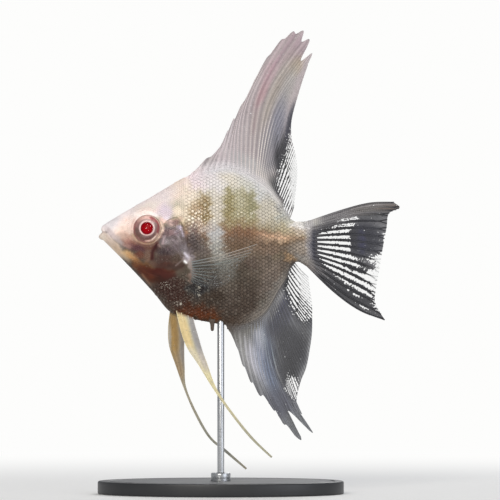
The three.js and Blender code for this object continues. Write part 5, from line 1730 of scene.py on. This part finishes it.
def build_eye(label, side, iris, lens, cornea):
    """One eye: the iris behind its cornea, and the round lens that fills the pupil."""
    def iris_height(x, z):
        r = off_pupil(x, z)
        dome = 0.5 * (1 - (r / EYE_RADIUS) ** 2) - 0.16
        return dome + 0.07 * bell(r - 1.88, 0.2) - 0.5 * smooth(r, 1.7, 1.36)

    def lens_height(x, z):
        share = off_pupil(x, z) / (PUPIL_RADIUS + 0.12)
        return 0.6 * np.sqrt(np.maximum(1 - share**2, 0)) - 0.05

    def cornea_height(x, z):
        share = np.hypot(x, z) / (EYE_RADIUS + 0.02)
        return 0.78 * np.maximum(1 - share**2, 0) ** 0.8 - 0.1

    disc, x, z = eye_disc(f"iris_{label}", side, EYE_RADIUS - 0.02, iris_height, 56)
    give_colours(disc, linear(iris_marking(x, z)))
    r = off_pupil(x, z)
    give(disc, "silver", 0.2 * bell(r - 1.8, 0.3) + 0.3 * (r > IRIS_RING))
    seat(disc, iris, "eye", f"eye_{label}")

    dome, x, z = eye_disc(f"lens_{label}", side, PUPIL_RADIUS, lens_height, 18, 72, PUPIL_AT)
    give(dome, "rim", off_pupil(x, z) / PUPIL_RADIUS)
    seat(dome, lens, "eye")

    window, _, _ = eye_disc(f"cornea_{label}", side, EYE_RADIUS, cornea_height, 24)
    seat(window, cornea, "eye")


# ---- The stand ----


def lathe(name, profile, centre, around, stretch=1.0):
    """A closed solid turned from [radius, height] points that run from the axis to the axis."""
    turn = np.arange(around) * 2 * np.pi / around
    inner = profile[1:-1]
    widest = max(r for r, _ in inner)
    rows = []
    for r, z in inner:
        across = r - widest * (1 - stretch)  # an oval keeps the edge's own shape all round
        rows.append(np.stack([centre[0] + r * np.cos(turn), centre[1] + across * np.sin(turn),
            np.full(around, z)], -1))
    ends = [[[*centre, profile[0][1]], [*centre, profile[-1][1]]]]
    return mesh_piece(name, np.concatenate(rows + ends), tube_faces(len(inner), around))


def rounded(corner, radius, start, stop):
    """The points of a quarter turn round a corner's centre, in [radius, height]."""
    angles = np.radians(np.linspace(start, stop, 6))
    return [[corner[0] + radius * math.cos(a), corner[1] + radius * math.sin(a)] for a in angles]


def corners_of(node):
    """A round CAD node's lowest and highest corner, its centre, and half its length."""
    low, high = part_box(node)
    return low, high, ((low.x + high.x) / 2, (low.y + high.y) / 2), (high.x - low.x) / 2


def build_stand(coated, brushed):
    """The oval plate, the rod, and the grooved collar round the rod's foot."""
    low, high, centre, length = corners_of("stand_base")
    edge, lip = 0.5 * MM, 0.35 * MM
    profile = [[0, low.z], [length - 4 * MM, low.z]]
    profile += rounded((length - lip, low.z + lip), lip, -90, 0)
    profile += rounded((length - edge, high.z - edge), edge, 0, 90)
    # A shallow groove runs round the top, 2.2 to 3.2 mm in from the edge.
    profile += [[length - 2.2 * MM, high.z], [length - 2.5 * MM, high.z - 0.22 * MM],
        [length - 2.9 * MM, high.z - 0.22 * MM], [length - 3.2 * MM, high.z], [length - 8 * MM, high.z],
        [0, high.z]]
    plate = lathe("stand_plate", profile, centre, 192, (high.y - low.y) / 2 / length)
    seat(plate, coated, "blackened_steel", "stand_base")

    low, high, centre, radius = corners_of("stand_rod")
    tip = high.z + 0.8 * MM
    profile = [[0, low.z - 0.2 * MM], [radius, low.z - 0.2 * MM], [radius, tip - 1.2 * MM],
        [radius * 0.6, tip - 0.3 * MM], [0, tip]]
    rod = lathe("stand_post", profile, centre, 48)
    seat(rod, brushed, "brushed_steel", "stand_rod")

    low, high, centre, radius = corners_of("stand_collar")
    tall, bottom = high.z - low.z, low.z - 0.25 * MM
    profile = [[0, bottom], [radius, bottom]]
    profile += [[radius, bottom + 0.35 * tall], [radius - 0.12 * MM, bottom + 0.4 * tall],
        [radius - 0.12 * MM, bottom + 0.46 * tall], [radius, bottom + 0.51 * tall]]
    profile += rounded((radius - 0.4 * MM, high.z - 0.4 * MM), 0.4 * MM, 0, 90)
    profile += [[radius * 0.5, high.z], [radius * 0.46, high.z + 0.12 * MM], [0, high.z + 0.12 * MM]]
    collar = lathe("stand_foot_collar", profile, centre, 64)
    seat(collar, brushed, "brushed_steel", "stand_collar")
    for piece in (plate, rod, collar):
        mark_sharp(piece)


def mark_sharp(piece):
    """Keeps the edges between faces that meet at more than 35 degrees sharp."""
    piece.data.set_sharp_from_angle(angle=math.radians(35))


# ---- The studio ----


def look_at(thing, target):
    """Turns a light or a camera to face a point."""
    away = thing.location - Vector(target)
    thing.rotation_euler = away.to_track_quat("Z", "Y").to_euler()


def add_light(name, at, target, size, power, code="#ffffff"):
    """A square, soft area light."""
    light = bpy.data.lights.new(name, "AREA")
    light.size = size
    light.energy = power
    light.color = linear(srgb(code))
    lamp = bpy.data.objects.new(name, light)
    bpy.context.scene.collection.objects.link(lamp)
    lamp.location = at
    look_at(lamp, target)


CAMERA_DISTANCE = 1.5  # metres
FRAME_WIDTH = 0.13  # what the camera takes in at the fish, in metres
AIM_STATION = 39.4  # the middle of the view
AIM_LEVEL = -4.2


def build_camera():
    """A long lens, square to the fish's left side."""
    lens_data = bpy.data.cameras.new("camera")
    lens_data.sensor_width = 36
    lens_data.lens = lens_data.sensor_width * CAMERA_DISTANCE / FRAME_WIDTH
    lens_data.clip_end = 50
    camera = bpy.data.objects.new("camera", lens_data)
    bpy.context.scene.collection.objects.link(camera)
    target = place([AIM_STATION, 0, AIM_LEVEL])
    camera.location = Vector(target) + Vector((0, -CAMERA_DISTANCE, 0))
    look_at(camera, target)
    bpy.context.scene.camera = camera


def build_studio():
    """A pale floor, an even pale surround and three soft lights."""
    radius, thick = 6.0, 0.004  # metres
    floor = lathe("floor", [[0, -thick], [radius, -thick], [radius, 0], [0, 0]], (0, 0), 96)
    floor.data.materials.append(paper_material())
    mark_sharp(floor)

    world = bpy.data.worlds.new("pale surround")
    world.use_nodes = True
    bpy.context.scene.world = world
    tree = world.node_tree
    tree.nodes.clear()
    path = put(tree, "ShaderNodeLightPath")
    seen = put(tree, "ShaderNodeBackground", {"Color": colour(SURROUND), "Strength": 1.0})
    cast = put(tree, "ShaderNodeBackground", {"Color": colour("#f4f6fa"), "Strength": 0.4})
    both = put(tree, "ShaderNodeMixShader", {0: path.outputs["Is Camera Ray"], 1: cast.outputs[0],
        2: seen.outputs[0]})
    put(tree, "ShaderNodeOutputWorld", {"Surface": both.outputs[0]})

    fish = place([30, 0, -4])
    add_light("key", (-0.3, -1, 0.5), fish, 0.5, 6, "#fffaf2")
    add_light("fill", (0.7, -0.6, 0.15), fish, 0.6, 2.4, "#f2f6ff")
    add_light("rim", (0.2, 0.7, 0.6), fish, 0.5, 3.4)
    bpy.context.scene.view_settings.view_transform = "Standard"


# ---- Putting it together ----

build_camera()
build_skin(skin_material())
film, ray_bone = membrane_material(), ray_material()
plate = plate_piece()
on_skin = plate_tree(plate, scale_material())
for side, label in ((-1, "left"), (1, "right")):
    build_scales(side, f"scales_{label}", on_skin, 12, "flank")
    build_scales(side, f"margin_scales_{label}", on_skin, 4, "margin")
    build_scales(side, f"face_scales_{label}", on_skin, 5, "face")
build_sheath(DORSAL_FIN, DORSAL_PAINT, "dorsal_sheath_scales", on_skin, 7)
build_sheath(ANAL_FIN, ANAL_PAINT, "anal_sheath_scales", on_skin, 8)
bpy.data.objects.remove(plate)

# Each fin's film, rays and node, its shape and paint, 1 or -1 for its side, the film's columns for
# each gap between rays and its rows, and the rays' thickness, forks and slot.
FINS = [[f"{name}_fin_film", f"{name}_fin_rays", f"{name}_fin", fin, paint, 1, 7, 90, thick, 1,
    "fin_membrane"] for name, fin, paint, thick in (("dorsal", DORSAL_FIN, DORSAL_PAINT, 0.2),
    ("anal", ANAL_FIN, ANAL_PAINT, 0.22), ("tail", TAIL_FIN, TAIL_PAINT, 0.36))]
for label, mirror in (("left", 1), ("right", -1)):
    FINS.append([f"pectoral_film_{label}", f"pectoral_rays_{label}", f"pectoral_fin_{label}",
        PECTORAL_FIN, PECTORAL_PAINT, mirror, 8, 50, 0.15, 1, "fin_membrane"])
for label, mirror, fin, paint in (("left", 1, PELVIC_FIN_LEFT, PELVIC_LEFT_PAINT),
        ("right", -1, PELVIC_FIN_RIGHT, PELVIC_RIGHT_PAINT)):
    FINS.append([f"pelvic_film_{label}", f"pelvic_rays_{label}", f"pelvic_fin_{label}",
        fin, paint, mirror, 6, 160, 0.11, 0, "pelvic_filament"])
for sheet, rays, node, fin, paint, mirror, per_gap, rows, thick, forks, slot in FINS:
    seat(build_film(sheet, fin, paint, mirror, per_gap, rows), film, slot, node)
    seat(build_rays(rays, fin, paint, mirror, ray_bone, thick, forks), None, slot)

iris, lens, cornea = iris_material(), lens_material(), cornea_material()
build_eye("left", -1, iris, lens, cornea)
build_eye("right", 1, iris, lens, cornea)
build_stand(coated_steel_material(), brushed_steel_material())
build_studio()
